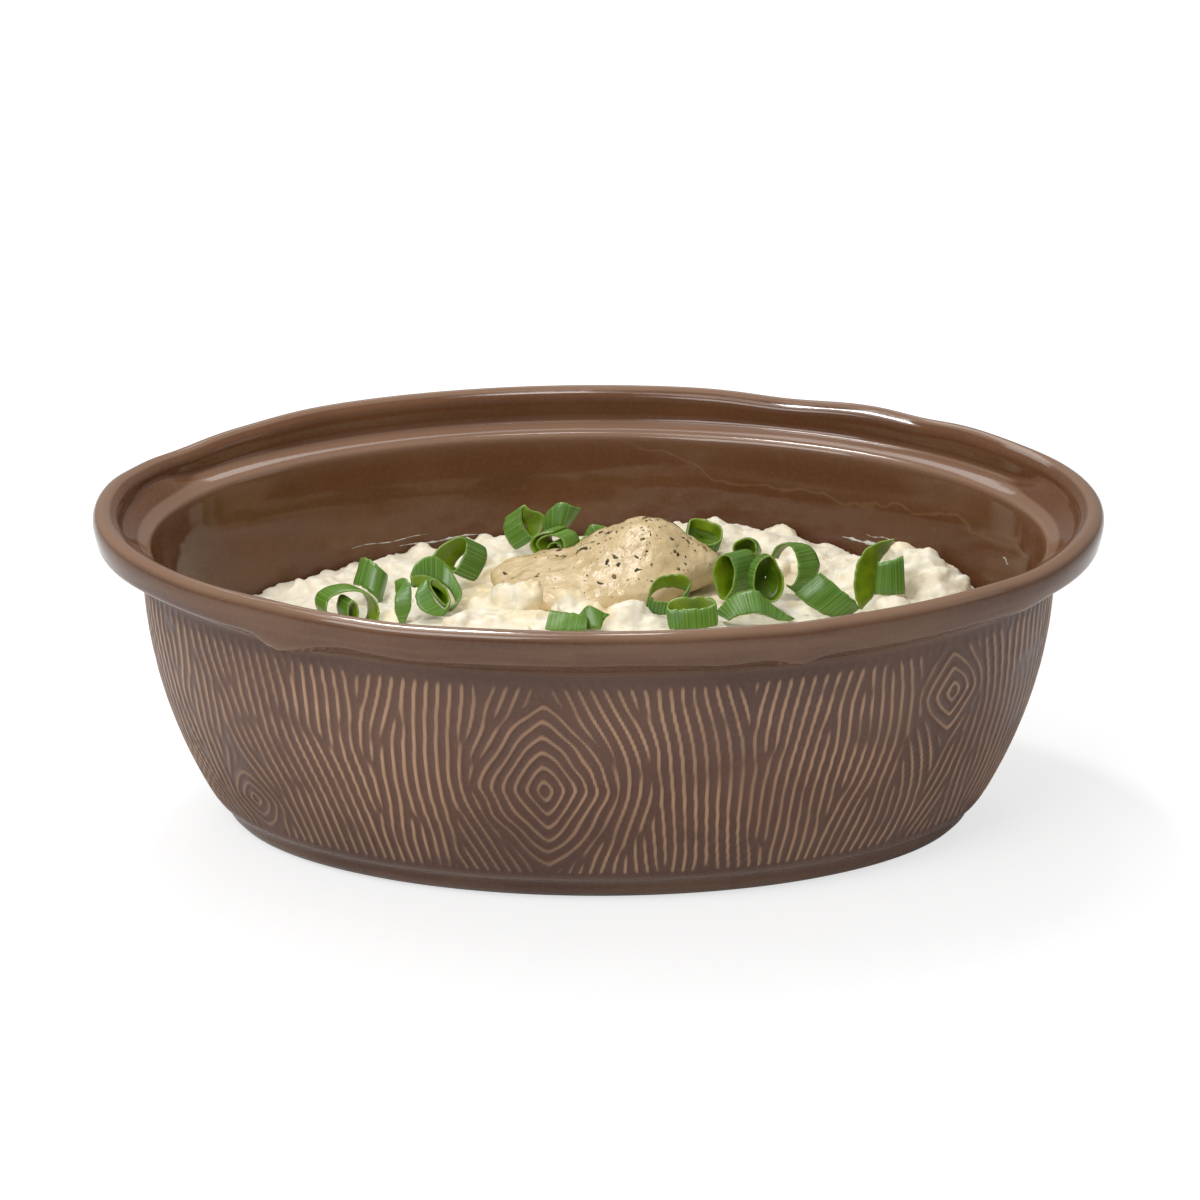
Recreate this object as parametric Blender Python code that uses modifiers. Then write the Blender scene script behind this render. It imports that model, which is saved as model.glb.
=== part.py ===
"""Mashed potato in an oval stoneware baker, with a spoonful of herb sauce and cut scallions on top.

Metres, +Z up. The origin is at the middle of the baker's foot, +X runs along its length and -Y is its front.
"""

import math

import bmesh
import bpy
from mathutils import Vector, noise
from mathutils.bvhtree import BVHTree

MM = 0.001
GAP = 0.3 * MM

# Baker
HALF_LENGTH = 112.5 * MM
HALF_WIDTH = 78.0 * MM
BEAD_TOP = 75.3 * MM
WALL_TOP_Z = 62.5 * MM
WALL_TOP_INSET = 10.7 * MM
WALL_FLARE = 18.3 * MM
WALL_FLARE_POWER = 2.1
WALL_THICKNESS = 3.6 * MM
FLOOR_Z = 7.5 * MM
INNER_LEVELS = (58 * MM, 44 * MM, 30 * MM, 20 * MM, 13 * MM, FLOOR_Z)
DISH_COLUMNS = 64

# Uneven, bark-like lip: (angle, half width before it and after it in degrees, rise of the lower edge)
LIP_WAVES = (
    (212.0, 12.0, 10.0, 0.4 * MM),
    (231.8, 2.0, 4.2, -2.9 * MM),
    (241.0, 3.0, 3.0, 0.5 * MM),
    (250.0, 5.0, 5.0, -0.4 * MM),
    (272.0, 8.0, 8.0, 0.4 * MM),
    (284.0, 3.0, 2.5, -0.5 * MM),
    (292.6, 2.0, 2.2, -1.7 * MM),
    (325.0, 5.0, 4.0, -0.7 * MM),
    (51.8, 2.0, 4.2, -2.4 * MM),
    (92.0, 8.0, 8.0, 0.4 * MM),
    (112.6, 2.5, 2.5, -1.6 * MM),
    (145.0, 6.0, 5.0, -0.7 * MM),
)
# Dips of the bead's top: (angle, half width before it and after it in degrees, rise)
BEAD_WAVES = (
    (66.0, 7.0, 7.0, -1.0 * MM),
    (47.0, 5.0, 5.0, -0.7 * MM),
    (30.0, 9.0, 9.0, -0.35 * MM),
    (150.0, 9.0, 9.0, -1.7 * MM),
    (137.0, 7.0, 7.0, -0.7 * MM),
    (162.0, 5.0, 5.0, -0.5 * MM),
    (247.0, 8.0, 8.0, -0.5 * MM),
    (292.0, 4.0, 4.0, -0.3 * MM),
    (330.0, 9.0, 9.0, -0.7 * MM),
)
# Parts of the section: (inset from the outline in mm, height in mm, share of the lip's waves, of the bead's)
FOOT_SECTION = ((37.0, 1.2, 0, 0), (35.6, 0.0, 0, 0), (32.5, 0.0, 0, 0), (29.3, 1.6, 0, 0), (27.4, 4.6, 0, 0))
LIP_SECTION = ((9.4, 63.1, 0.3, 0), (4.5, 65.2, 0.7, 0), (1.9, 67.1, 1, 0), (0.5, 68.7, 0.7, 0.3))
BEAD_SECTION = ((0.0, 72.5, 0, 1), (0.78, 74.66, 0, 1), (2.35, 75.3, 0, 1), (5.0, 74.08, 0, 1), (5.8, 71.8, 0, 1))
LEDGE_SECTION = ((6.5, 67.8, 0, 0), (8.2, 67.85, 0, 0), (11.6, 66.9, 0, 0), (12.9, 65.3, 0, 0))
WALL_LEVELS = 7
WALL_BOTTOM_Z = 8.2 * MM
WALL_END_Z = WALL_TOP_Z - 2 * MM

# Mashed potato: (x, y, height, half width in x, half width in y)
MASH_EDGE_Z = 38.3 * MM
MASH_ROOF = (
    (0.0, 0.0, 5.5 * MM, 62 * MM, 400 * MM),
    (0.0, 0.0, 5.0 * MM, 60 * MM, 34 * MM),
    (24 * MM, 46 * MM, 9.0 * MM, 24 * MM, 14 * MM),
    (48 * MM, 44 * MM, 3.5 * MM, 15 * MM, 12 * MM),
    (75 * MM, 26 * MM, 15.0 * MM, 16 * MM, 14 * MM),
    (-27 * MM, 44 * MM, 5.5 * MM, 9 * MM, 8 * MM),
    (-45 * MM, 36 * MM, 2.4 * MM, 18 * MM, 12 * MM),
    (-14 * MM, -3 * MM, 3.0 * MM, 14 * MM, 9 * MM),
    (55 * MM, 0 * MM, 3.5 * MM, 14 * MM, 9 * MM),
    (30 * MM, -12 * MM, 2.0 * MM, 9 * MM, 7 * MM),
    (-52 * MM, -22 * MM, 4.0 * MM, 20 * MM, 14 * MM),
    (8 * MM, -40 * MM, 3.5 * MM, 24 * MM, 13 * MM),
    (64 * MM, -26 * MM, 3.0 * MM, 16 * MM, 12 * MM),
)
LUMP_HEIGHT = 1.6 * MM
LUMP_SIZE = 13 * MM
MASH_COLUMNS = DISH_COLUMNS
MASH_RINGS = 15

# Herb sauce
SAUCE_X = 1.0 * MM
SAUCE_Y = 19.5 * MM
SAUCE_TURN = math.radians(12.0)
SAUCE_HALF_LENGTH = 26.5 * MM
SAUCE_HALF_WIDTH = 17.0 * MM
SAUCE_SEAT_Z = 46.8 * MM
SAUCE_SEAT_MARGIN = 0.3
SAUCE_SEAT_BLEND = 0.12
SAUCE_EDGE = 2.0 * MM
SAUCE_SWELL = 3.6 * MM
SAUCE_PEAK = (12.0 * MM, 25.0 * MM, 8.6 * MM, 14.0 * MM, 13.0 * MM)
SAUCE_RIPPLE = 0.7 * MM
SAUCE_RIPPLE_SIZE = 8.0 * MM
SAUCE_COLUMNS = 40
SAUCE_RINGS = 8

# Scallions
LEAF_THICKNESS = 0.8 * MM
LEAF_SEAT_GAP = 0.5 * MM
LEAF_SEAT_RISE = 0.35
LEAF_SEAT_MARGIN = 2.5 * MM
LEAF_ARC_STEPS = 14
CURL_ARC_STEPS = 20
SETTLE_STEP = 0.4 * MM
# (x, y, z, radius, cut length, azimuth and elevation of the axis, start angle, sweep, inward curl, squash)
SCALLIONS = (
    (-57.4, 9.0, 46.7, 6.8, 5.0, -82, 42, -40, 400, 0.42, 0.80),
    (-52.8, 24.0, 47.0, 4.4, 7.2, -100, 68, -150, 190, 0.0, 0.80),
    (-44.6, 4.5, 46.6, 4.6, 5.6, -20, 12, 20, 130, 0.0, 0.90),
    (-37.2, 9.5, 49.6, 5.8, 6.4, -112, 27, -60, 390, 0.35, 0.90),
    (-31.0, 27.5, 49.8, 5.4, 6.2, -132, 26, 0, 360, 0.0, 0.85),
    (-18.6, 41.0, 52.4, 4.8, 5.6, -37, 20, 0, 360, 0.0, 0.95),
    (-8.2, 49.0, 50.0, 5.2, 7.0, -28, 24, 15, 160, 0.0, 0.95),
    (-9.6, 35.0, 50.8, 4.3, 6.6, -112, 20, 0, 360, 0.0, 0.80),
    (0.8, 37.5, 57.8, 6.0, 5.6, 70, 14, 205, 125, 0.0, 0.90),
    (24.4, 36.5, 53.4, 4.7, 5.5, -70, 42, -30, 240, 0.0, 0.90),
    (33.6, 34.0, 50.6, 3.2, 4.5, -95, 15, 0, 360, 0.0, 1.0),
    (30.6, 14.5, 51.0, 4.8, 6.4, -154, 10, 0, 360, 0.0, 1.0),
    (39.4, 9.5, 50.4, 4.8, 4.8, -41, 20, -70, 320, 0.0, 0.95),
    (46.0, 22.0, 49.2, 5.3, 5.6, -153, 16, -85, 335, 0.0, 1.0),
    (52.2, 8.5, 44.8, 7.0, 7.5, -137, -20, 35, 110, 0.0, 0.9),
    (62.4, 16.0, 50.4, 6.2, 5.6, -47, 28, 60, 245, 0.0, 1.15),
    (70.0, 15.5, 49.8, 5.2, 6.0, -70, 60, -140, 120, 0.0, 0.90),
    (15.2, 1.5, 51.4, 4.5, 5.0, -90, 58, 0, 360, 0.0, 0.85),
    (21.0, -9.0, 51.4, 5.2, 6.4, -80, 76, 0, 360, 0.0, 0.85),
    (35.0, -3.0, 46.4, 8.0, 8.0, -60, 16, 25, 130, 0.0, 0.75),
    (-8.6, -12.5, 49.6, 5.4, 8.0, -15, 10, 20, 140, 0.0, 0.75),
    (1.6, -10.0, 50.4, 4.0, 6.0, -125, 14, 20, 150, 0.0, 0.80),
)


def clear_scene():
    for obj in list(bpy.data.objects):
        bpy.data.objects.remove(obj)


def make_material(name, colour, roughness, subsurface=0.0):
    material = bpy.data.materials.new(name)
    material.use_nodes = True
    shader = material.node_tree.nodes["Principled BSDF"]
    shader.inputs["Base Color"].default_value = (*colour, 1.0)
    shader.inputs["Roughness"].default_value = roughness
    shader.inputs["Metallic"].default_value = 0.0
    shader.inputs["Subsurface Weight"].default_value = subsurface
    return material


def add_object(name, points, faces, material, collection):
    mesh = bpy.data.meshes.new(name)
    mesh.from_pydata(points, [], faces)
    mesh.materials.append(material)
    fix = bmesh.new()
    fix.from_mesh(mesh)
    bmesh.ops.recalc_face_normals(fix, faces=fix.faces)
    fix.to_mesh(mesh)
    fix.free()
    mesh.shade_smooth()
    obj = bpy.data.objects.new(name, mesh)
    collection.objects.link(obj)
    return obj


def loft(rings):
    """Points and faces of a closed body through rings of equal length, capped at both ends."""
    count = len(rings[0])
    points = [point for ring in rings for point in ring]
    faces = []
    for level in range(len(rings) - 1):
        low = level * count
        high = low + count
        for i in range(count):
            j = (i + 1) % count
            faces.append((low + i, low + j, high + j, high + i))
    faces.append(tuple(reversed(range(count))))
    last = (len(rings) - 1) * count
    faces.append(tuple(range(last, last + count)))
    return points, faces


def bump(x, y, centre_x, centre_y, height, half_x, half_y):
    return height * math.exp(-(((x - centre_x) / half_x) ** 2) - ((y - centre_y) / half_y) ** 2)


# Baker


def outer_inset(z):
    """How far the outer wall lies inside the rim's outline at height z."""
    depth = max(0.0, 1.0 - z / WALL_TOP_Z)
    return WALL_TOP_INSET + WALL_FLARE * depth**WALL_FLARE_POWER


def inner_inset(z):
    """The same for the inner wall, which keeps the wall's thickness and rounds into the floor."""
    corner = max(0.0, 1.0 - (z - FLOOR_Z) / (11 * MM))
    return outer_inset(z) + WALL_THICKNESS + 7 * MM * corner**2


def flat_inset(z):
    """The inner wall's inset on its flat facets, which cut the curve between the levels."""
    for high, low in zip(INNER_LEVELS, INNER_LEVELS[1:]):
        if z >= low:
            share = (z - low) / (high - low)
            return inner_inset(low) + (inner_inset(high) - inner_inset(low)) * share
    return inner_inset(FLOOR_Z)


def wave_shift(waves, angle):
    """Rise of these waves at this angle around the rim."""
    shift = 0.0
    for centre, before, after, rise in waves:
        away = (math.degrees(angle) - centre + 180.0) % 360.0 - 180.0
        shift += rise * math.exp(-((away / (before if away < 0 else after)) ** 2))
    return shift


def dish_profile():
    """The section from foot to floor: (inset, height, share of the lip's waves, share of the bead's)."""
    wall = []
    for step in range(WALL_LEVELS):
        z = WALL_BOTTOM_Z + (WALL_END_Z - WALL_BOTTOM_Z) * step / (WALL_LEVELS - 1)
        wall.append((outer_inset(z), z, 0.0, 0.0))
    rim = [(inset * MM, z * MM, lip, bead) for inset, z, lip, bead in LIP_SECTION + BEAD_SECTION + LEDGE_SECTION]
    foot = [(inset * MM, z * MM, lip, bead) for inset, z, lip, bead in FOOT_SECTION]
    return foot + wall + rim + [(inner_inset(z), z, 0.0, 0.0) for z in INNER_LEVELS]


def make_dish(material, collection):
    rings = []
    for inset, z, lip, bead in dish_profile():
        ring = []
        for column in range(DISH_COLUMNS):
            angle = math.tau * column / DISH_COLUMNS
            x = (HALF_LENGTH - inset) * math.cos(angle)
            y = (HALF_WIDTH - inset) * math.sin(angle)
            level = z + lip * wave_shift(LIP_WAVES, angle) + bead * wave_shift(BEAD_WAVES, angle)
            ring.append(Vector((x, y, level)))
        rings.append(ring)
    return add_object("dish", *loft(rings), material, collection)


# Mashed potato


def in_sauce(x, y):
    """1 at the middle of the sauce, 0 at its outline and below 0 outside."""
    along = (x - SAUCE_X) * math.cos(SAUCE_TURN) + (y - SAUCE_Y) * math.sin(SAUCE_TURN)
    across = (y - SAUCE_Y) * math.cos(SAUCE_TURN) - (x - SAUCE_X) * math.sin(SAUCE_TURN)
    return 1.0 - math.hypot(along / SAUCE_HALF_LENGTH, across / SAUCE_HALF_WIDTH)


def leaf_bottom(piece):
    """Height of the lowest point of a scallion's arc, as if its axis lay flat."""
    _, _, z, radius, _, _, _, start, sweep, _, squash = piece
    turns = [math.radians(start + sweep * step / LEAF_ARC_STEPS) for step in range(LEAF_ARC_STEPS + 1)]
    return (z + radius * squash * min(math.sin(turn) for turn in turns)) * MM


def leaf_seat(x, y):
    """Height of the lowest hollow that a scallion presses into the potato here."""
    lowest = BEAD_TOP
    for piece in SCALLIONS:
        radius = piece[3] * MM
        away = math.hypot(x - piece[0] * MM, y - piece[1] * MM)
        if away < radius + LEAF_SEAT_MARGIN:
            lowest = min(lowest, leaf_bottom(piece) - LEAF_SEAT_GAP + LEAF_SEAT_RISE * away**2 / radius)
    return lowest


def mash_height(x, y):
    z = MASH_EDGE_Z + sum(bump(x, y, *mound) for mound in MASH_ROOF)
    z += LUMP_HEIGHT * noise.noise(Vector((x, y, 0.0)) / LUMP_SIZE)
    z = min(z, leaf_seat(x, y))
    seat = min(1.0, max(0.0, (in_sauce(x, y) + SAUCE_SEAT_MARGIN) / SAUCE_SEAT_BLEND))
    return z + (min(z, SAUCE_SEAT_Z) - z) * seat


def make_mash(material, collection):
    rings = []
    angles = [math.tau * column / MASH_COLUMNS for column in range(MASH_COLUMNS)]
    levels = [FLOOR_Z + GAP] + [z for z in reversed(INNER_LEVELS) if FLOOR_Z < z < MASH_EDGE_Z] + [None]
    for level in levels:
        ring = []
        for angle in angles:
            inset = flat_inset(level or MASH_EDGE_Z) + 2 * GAP
            x = (HALF_LENGTH - inset) * math.cos(angle)
            y = (HALF_WIDTH - inset) * math.sin(angle)
            ring.append(Vector((x, y, level or mash_height(x, y))))
        rings.append(ring)
    edge = rings[-1]
    for level in range(1, MASH_RINGS + 1):
        reach = 1.0 - level / (MASH_RINGS + 1)
        ring = []
        for point in edge:
            x = point.x * reach
            y = point.y * reach
            ring.append(Vector((x, y, mash_height(x, y))))
        rings.append(ring)
    return add_object("mash", *loft(rings), material, collection)


# Herb sauce


def sauce_outline(angle):
    """The spoonful's uneven outline as a share of its half sizes."""
    return 1.0 + 0.05 * math.sin(3 * angle + 0.6) + 0.04 * math.sin(5 * angle + 2.0)


def make_sauce(material, collection):
    rings = []
    base_z = SAUCE_SEAT_Z + GAP
    stations = [(0.96, 0.0), (1.0, 0.35), (0.98, 0.8)]
    stations += [(0.93 - 0.88 * step / SAUCE_RINGS, 1.0) for step in range(SAUCE_RINGS)]
    for reach, rise in stations:
        ring = []
        for column in range(SAUCE_COLUMNS):
            angle = math.tau * column / SAUCE_COLUMNS
            share = reach * sauce_outline(angle)
            along = SAUCE_HALF_LENGTH * share * math.cos(angle)
            across = SAUCE_HALF_WIDTH * share * math.sin(angle)
            x = SAUCE_X + along * math.cos(SAUCE_TURN) - across * math.sin(SAUCE_TURN)
            y = SAUCE_Y + along * math.sin(SAUCE_TURN) + across * math.cos(SAUCE_TURN)
            dome = SAUCE_SWELL * math.sqrt(max(0.0, 1.0 - reach**2)) + bump(x, y, *SAUCE_PEAK)
            ripple = SAUCE_RIPPLE * noise.noise(Vector((x, y, 0.0)) / SAUCE_RIPPLE_SIZE)
            ring.append(Vector((x, y, base_z + (SAUCE_EDGE + dome + ripple) * rise)))
        rings.append(ring)
    return add_object("herb_sauce", *loft(rings), material, collection)


# Scallions


def leaf_strip(radius, length, start, sweep, curl, squash):
    """Open surface of a cut leaf: an arc in local Y and Z, carried along local X."""
    whole = sweep == 360
    steps = CURL_ARC_STEPS if curl else LEAF_ARC_STEPS
    columns = steps if whole else steps + 1
    points = []
    for column in range(columns):
        share = column / steps
        turn = math.radians(start + sweep * share)
        reach = radius * (1.0 - curl * share)
        for side in (-0.5, 0.5):
            points.append(Vector((length * side, reach * math.cos(turn), reach * squash * math.sin(turn))))
    faces = []
    for column in range(steps):
        near = 2 * column
        far = 2 * ((column + 1) % columns)
        faces.append((near, far, far + 1, near + 1))
    return points, faces


def support_height(tree, x, y):
    hit = tree.ray_cast(Vector((x, y, 1.0)), Vector((0.0, 0.0, -1.0)))
    return hit[0].z if hit[0] else 0.0


def world_tree(obj):
    graph = bpy.context.evaluated_depsgraph_get()
    solid = obj.evaluated_get(graph)
    mesh = solid.to_mesh()
    points = [solid.matrix_world @ vertex.co for vertex in mesh.vertices]
    faces = [tuple(polygon.vertices) for polygon in mesh.polygons]
    solid.to_mesh_clear()
    return points, BVHTree.FromPolygons(points, faces)


def settle(piece, grounds, neighbours):
    """Raise a piece until it lies on the potato or the sauce, clear of what is already there."""
    points, _ = world_tree(piece)
    lift = max(support_height(tree, p.x, p.y) - p.z for p in points for tree in grounds)
    piece.location.z += max(0.0, lift + GAP)
    bpy.context.view_layer.update()
    _, tree = world_tree(piece)
    while any(tree.overlap(other) for other in grounds + neighbours):
        piece.location.z += SETTLE_STEP
        bpy.context.view_layer.update()
        _, tree = world_tree(piece)
    piece.location.z += GAP
    bpy.context.view_layer.update()


def make_scallions(material, collection, grounds):
    placed = []
    for number, piece in enumerate(SCALLIONS, start=1):
        x, y, z, radius, length, azimuth, elevation, start, sweep, curl, squash = piece
        points, faces = leaf_strip(radius * MM, length * MM, start, sweep, curl, squash)
        obj = add_object(f"scallion_{number:02d}", points, faces, material, collection)
        shell = obj.modifiers.new("leaf", "SOLIDIFY")
        shell.thickness = LEAF_THICKNESS
        shell.offset = 0.0
        obj.rotation_euler = (0.0, math.radians(-elevation), math.radians(azimuth))
        obj.location = (x * MM, y * MM, z * MM)
        bpy.context.view_layer.update()
        settle(obj, grounds, placed)
        placed.append(world_tree(obj)[1])


def main():
    clear_scene()
    collection = bpy.data.collections.new("mashed_potato_side")
    bpy.context.scene.collection.children.link(collection)
    glaze = make_material("brown_glaze", (0.105, 0.052, 0.030), 0.22)
    potato = make_material("potato", (0.85, 0.80, 0.66), 0.5, 0.2)
    sauce = make_material("herb_sauce", (0.74, 0.58, 0.36), 0.3, 0.2)
    leaf = make_material("scallion", (0.06, 0.23, 0.02), 0.3, 0.1)
    make_dish(glaze, collection)
    mash = make_mash(potato, collection)
    dollop = make_sauce(sauce, collection)
    bpy.context.view_layer.update()
    grounds = [world_tree(mash)[1], world_tree(dollop)[1]]
    make_scallions(leaf, collection, grounds)


main()
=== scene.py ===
"""Looks of the mashed potato side: an oval glazed baker, lumpy potato, herb sauce and cut scallions."""

import math

import bmesh
import bpy
import numpy as np
from mathutils import Matrix, Vector
from mathutils.bvhtree import BVHTree


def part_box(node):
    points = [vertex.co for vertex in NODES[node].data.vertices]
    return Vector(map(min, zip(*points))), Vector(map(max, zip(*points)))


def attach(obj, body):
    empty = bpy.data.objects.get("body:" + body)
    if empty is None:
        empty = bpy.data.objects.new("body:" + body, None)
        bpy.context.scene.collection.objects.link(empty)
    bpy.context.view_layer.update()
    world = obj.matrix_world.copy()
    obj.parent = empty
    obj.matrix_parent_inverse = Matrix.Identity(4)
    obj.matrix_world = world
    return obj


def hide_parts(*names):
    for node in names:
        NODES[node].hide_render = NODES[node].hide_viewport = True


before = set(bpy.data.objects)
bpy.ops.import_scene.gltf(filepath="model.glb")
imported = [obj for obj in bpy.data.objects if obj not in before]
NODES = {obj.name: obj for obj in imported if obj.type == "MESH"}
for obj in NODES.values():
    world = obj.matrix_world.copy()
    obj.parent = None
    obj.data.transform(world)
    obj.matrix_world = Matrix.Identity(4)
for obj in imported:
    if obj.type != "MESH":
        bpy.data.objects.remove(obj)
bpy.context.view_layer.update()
MM = 0.001
RNG = np.random.default_rng(20)

# ---- shared helpers


def smoothstep(low, high, value):
    share = np.clip((np.asarray(value, float) - low) / (high - low), 0.0, 1.0)
    return share * share * (3.0 - 2.0 * share)


def lattice(cells, seed):
    """Repeatable random values from -1 to 1 for integer cells."""
    mix = cells[..., 0] * 374761393 + cells[..., 1] * 668265263
    mix = mix + cells[..., 2] * 2147483647 + seed * 974634777
    mix = (mix ^ (mix >> 13)) * 1274126177
    mix = mix ^ (mix >> 16)
    return (mix & 0xFFFFF) / 0x7FFFF - 1.0


def noise3(points, size, seed=0):
    """Smooth value noise from -1 to 1 with features of about this size."""
    scaled = np.asarray(points, float) / size
    base = np.floor(scaled).astype(np.int64)
    part = scaled - base
    part = part * part * (3.0 - 2.0 * part)
    total = 0.0
    for dx in (0, 1):
        for dy in (0, 1):
            for dz in (0, 1):
                weight = (
                    np.where(dx, part[..., 0], 1 - part[..., 0])
                    * np.where(dy, part[..., 1], 1 - part[..., 1])
                    * np.where(dz, part[..., 2], 1 - part[..., 2])
                )
                total = total + weight * lattice(base + np.array((dx, dy, dz)), seed)
    return total


def fractal(points, size, octaves, seed=0):
    total = 0.0
    share = 1.0
    for octave in range(octaves):
        total = total + share * noise3(points, size / 2**octave, seed + octave)
        share *= 0.5
    return total


def new_object(name, points, faces, material):
    mesh = bpy.data.meshes.new(name)
    mesh.from_pydata([tuple(p) for p in points], [], faces)
    mesh.materials.append(material)
    mesh.shade_smooth()
    obj = bpy.data.objects.new(name, mesh)
    bpy.context.scene.collection.objects.link(obj)
    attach(obj, "root")
    return obj


def add_attribute(obj, name, values):
    layer = obj.data.attributes.new(name, "FLOAT", "POINT")
    layer.data.foreach_set("value", np.asarray(values, np.float32))


def mesh_arrays(mesh):
    points = np.empty(len(mesh.vertices) * 3, np.float32)
    mesh.vertices.foreach_get("co", points)
    return points.reshape(-1, 3).astype(float)


def faces_of(mesh):
    return [tuple(face.vertices) for face in mesh.polygons]


def move_points(mesh, points):
    mesh.vertices.foreach_set("co", points.astype(np.float32).ravel())
    mesh.update()


def vertex_normals(mesh):
    normals = np.empty(len(mesh.vertices) * 3, np.float32)
    mesh.vertex_normals.foreach_get("vector", normals)
    return normals.reshape(-1, 3).astype(float)


def world_tree(obj):
    return BVHTree.FromPolygons([v.co.copy() for v in obj.data.vertices], faces_of(obj.data))


def hit_from_above(tree, x, y):
    """Point and normal where a line straight down at (x, y) meets this surface."""
    return tree.ray_cast(Vector((x, y, 0.2)), Vector((0, 0, -1)))[:2]


def stand_for(obj, node):
    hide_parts(node)
    return obj


class Nodes:
    """A short way to write a node material."""

    def __init__(self, name):
        self.material = bpy.data.materials.new(name)
        self.material.use_nodes = True
        self.tree = self.material.node_tree
        self.shader = self.tree.nodes["Principled BSDF"]

    def add(self, kind, **settings):
        node = self.tree.nodes.new(kind)
        for key, value in settings.items():
            if key in node.inputs:
                node.inputs[key].default_value = value
            else:
                setattr(node, key, value)
        return node

    def link(self, source, target):
        self.tree.links.new(source, target)

    def set(self, **values):
        for key, value in values.items():
            self.shader.inputs[key.replace("_", " ")].default_value = value

    def mix(self, factor, first, second):
        node = self.tree.nodes.new("ShaderNodeMix")
        node.data_type = "RGBA"
        for socket, value in ((node.inputs[0], factor), (node.inputs[6], first), (node.inputs[7], second)):
            if isinstance(value, (int, float)):
                socket.default_value = value
            elif isinstance(value, tuple):
                socket.default_value = (*value, 1.0)
            else:
                self.link(value, socket)
        return node.outputs[2]

    def attribute(self, name):
        return self.add("ShaderNodeAttribute", attribute_name=name).outputs["Fac"]

    def ramp(self, value, low, high, out_low=0.0, out_high=1.0):
        node = self.add("ShaderNodeMapRange")
        node.interpolation_type = "SMOOTHSTEP"
        for index, number in enumerate((low, high, out_low, out_high), start=1):
            node.inputs[index].default_value = number
        self.link(value, node.inputs[0])
        return node.outputs[0]

    def noise(self, scale, detail=3.0, roughness=0.5, stretch=(1, 1, 1)):
        coords = self.add("ShaderNodeTexCoord").outputs["Object"]
        mapping = self.add("ShaderNodeMapping")
        mapping.inputs["Scale"].default_value = stretch
        self.link(coords, mapping.inputs["Vector"])
        node = self.add("ShaderNodeTexNoise", Scale=scale, Detail=detail, Roughness=roughness)
        self.link(mapping.outputs[0], node.inputs["Vector"])
        return node.outputs["Fac"]

    def math(self, operation, first, second=0.5):
        node = self.tree.nodes.new("ShaderNodeMath")
        node.operation = operation
        for socket, value in zip(node.inputs, (first, second)):
            if isinstance(value, (int, float)):
                socket.default_value = value
            else:
                self.link(value, socket)
        return node.outputs[0]

    def times(self, first, second):
        return self.math("MULTIPLY", first, second)

    def colour(self, base):
        self.link(base, self.shader.inputs["Base Color"])

    def bump(self, height, strength, distance):
        node = self.add("ShaderNodeBump")
        node.inputs["Strength"].default_value = strength
        node.inputs["Distance"].default_value = distance
        self.link(height, node.inputs["Height"])
        self.link(node.outputs[0], self.shader.inputs["Normal"])


# ---- baker

DISH_LOW, DISH_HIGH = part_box("dish")
HALF_LENGTH = DISH_HIGH[0]
HALF_WIDTH = DISH_HIGH[1]
BEAD_TOP = DISH_HIGH[2]
WALL_TOP_Z = 62.5 * MM
WALL_TOP_INSET = 10.7 * MM
WALL_FLARE = 18.3 * MM
WALL_FLARE_POWER = 2.1
WALL_THICKNESS = 3.6 * MM
FLOOR_Z = 7.5 * MM
RELIEF_LOW_Z = 8.4 * MM
RELIEF_HIGH_Z = 62.2 * MM
RELIEF_HEIGHT = 0.42 * MM
WALL_COLUMNS = 1000
WALL_ROWS = 84
PLAIN_STEP = 5
LIP_LEVELS = 11
GRAIN_SPACING = 2.5
GRAIN_DIRECTIONS = 18
GRAIN_ROUNDS = 16
GRAIN_BOTTOM = -16.0
GRAIN_HEIGHT = 96.0
GRAIN_RADIUS = 84.0
GRAIN_SEED = 7
# Knots of the grain: (angle in degrees, height, reach along the wall and up it in mm, steepness)
KNOTS = (
    (263.3, 33.0, 17.5, 26.5, 0.66),
    (319.5, 47.5, 8.6, 12.0, 0.72),
    (215.5, 18.0, 8.0, 9.0, 0.85),
    (20.0, 30.0, 10.0, 15.0, 0.66),
    (62.0, 36.0, 16.0, 25.0, 0.66),
    (104.0, 22.0, 7.0, 9.0, 0.75),
    (146.0, 42.0, 9.0, 13.0, 0.68),
    (181.0, 34.0, 6.0, 9.0, 0.68),
)
# Waves of the lip's lower edge: (angle, half width before and after it in degrees, rise)
LIP_WAVES = (
    (212.0, 12.0, 10.0, 0.4 * MM),
    (231.8, 2.0, 4.2, -2.9 * MM),
    (241.0, 3.0, 3.0, 0.5 * MM),
    (250.0, 5.0, 5.0, -0.4 * MM),
    (272.0, 8.0, 8.0, 0.4 * MM),
    (284.0, 3.0, 2.5, -0.5 * MM),
    (292.6, 2.0, 2.2, -1.7 * MM),
    (325.0, 5.0, 4.0, -0.7 * MM),
    (51.8, 2.0, 4.2, -2.4 * MM),
    (92.0, 8.0, 8.0, 0.4 * MM),
    (112.6, 2.5, 2.5, -1.6 * MM),
    (145.0, 6.0, 5.0, -0.7 * MM),
)
# Waves of the bead's top, in the same form
BEAD_WAVES = (
    (66.0, 7.0, 7.0, -1.0 * MM),
    (47.0, 5.0, 5.0, -0.7 * MM),
    (30.0, 9.0, 9.0, -0.35 * MM),
    (150.0, 9.0, 9.0, -1.7 * MM),
    (137.0, 7.0, 7.0, -0.7 * MM),
    (162.0, 5.0, 5.0, -0.5 * MM),
    (229.0, 4.0, 4.0, 0.25 * MM),
    (247.0, 8.0, 8.0, -0.5 * MM),
    (292.0, 4.0, 4.0, -0.3 * MM),
    (330.0, 9.0, 9.0, -0.7 * MM),
)


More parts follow.
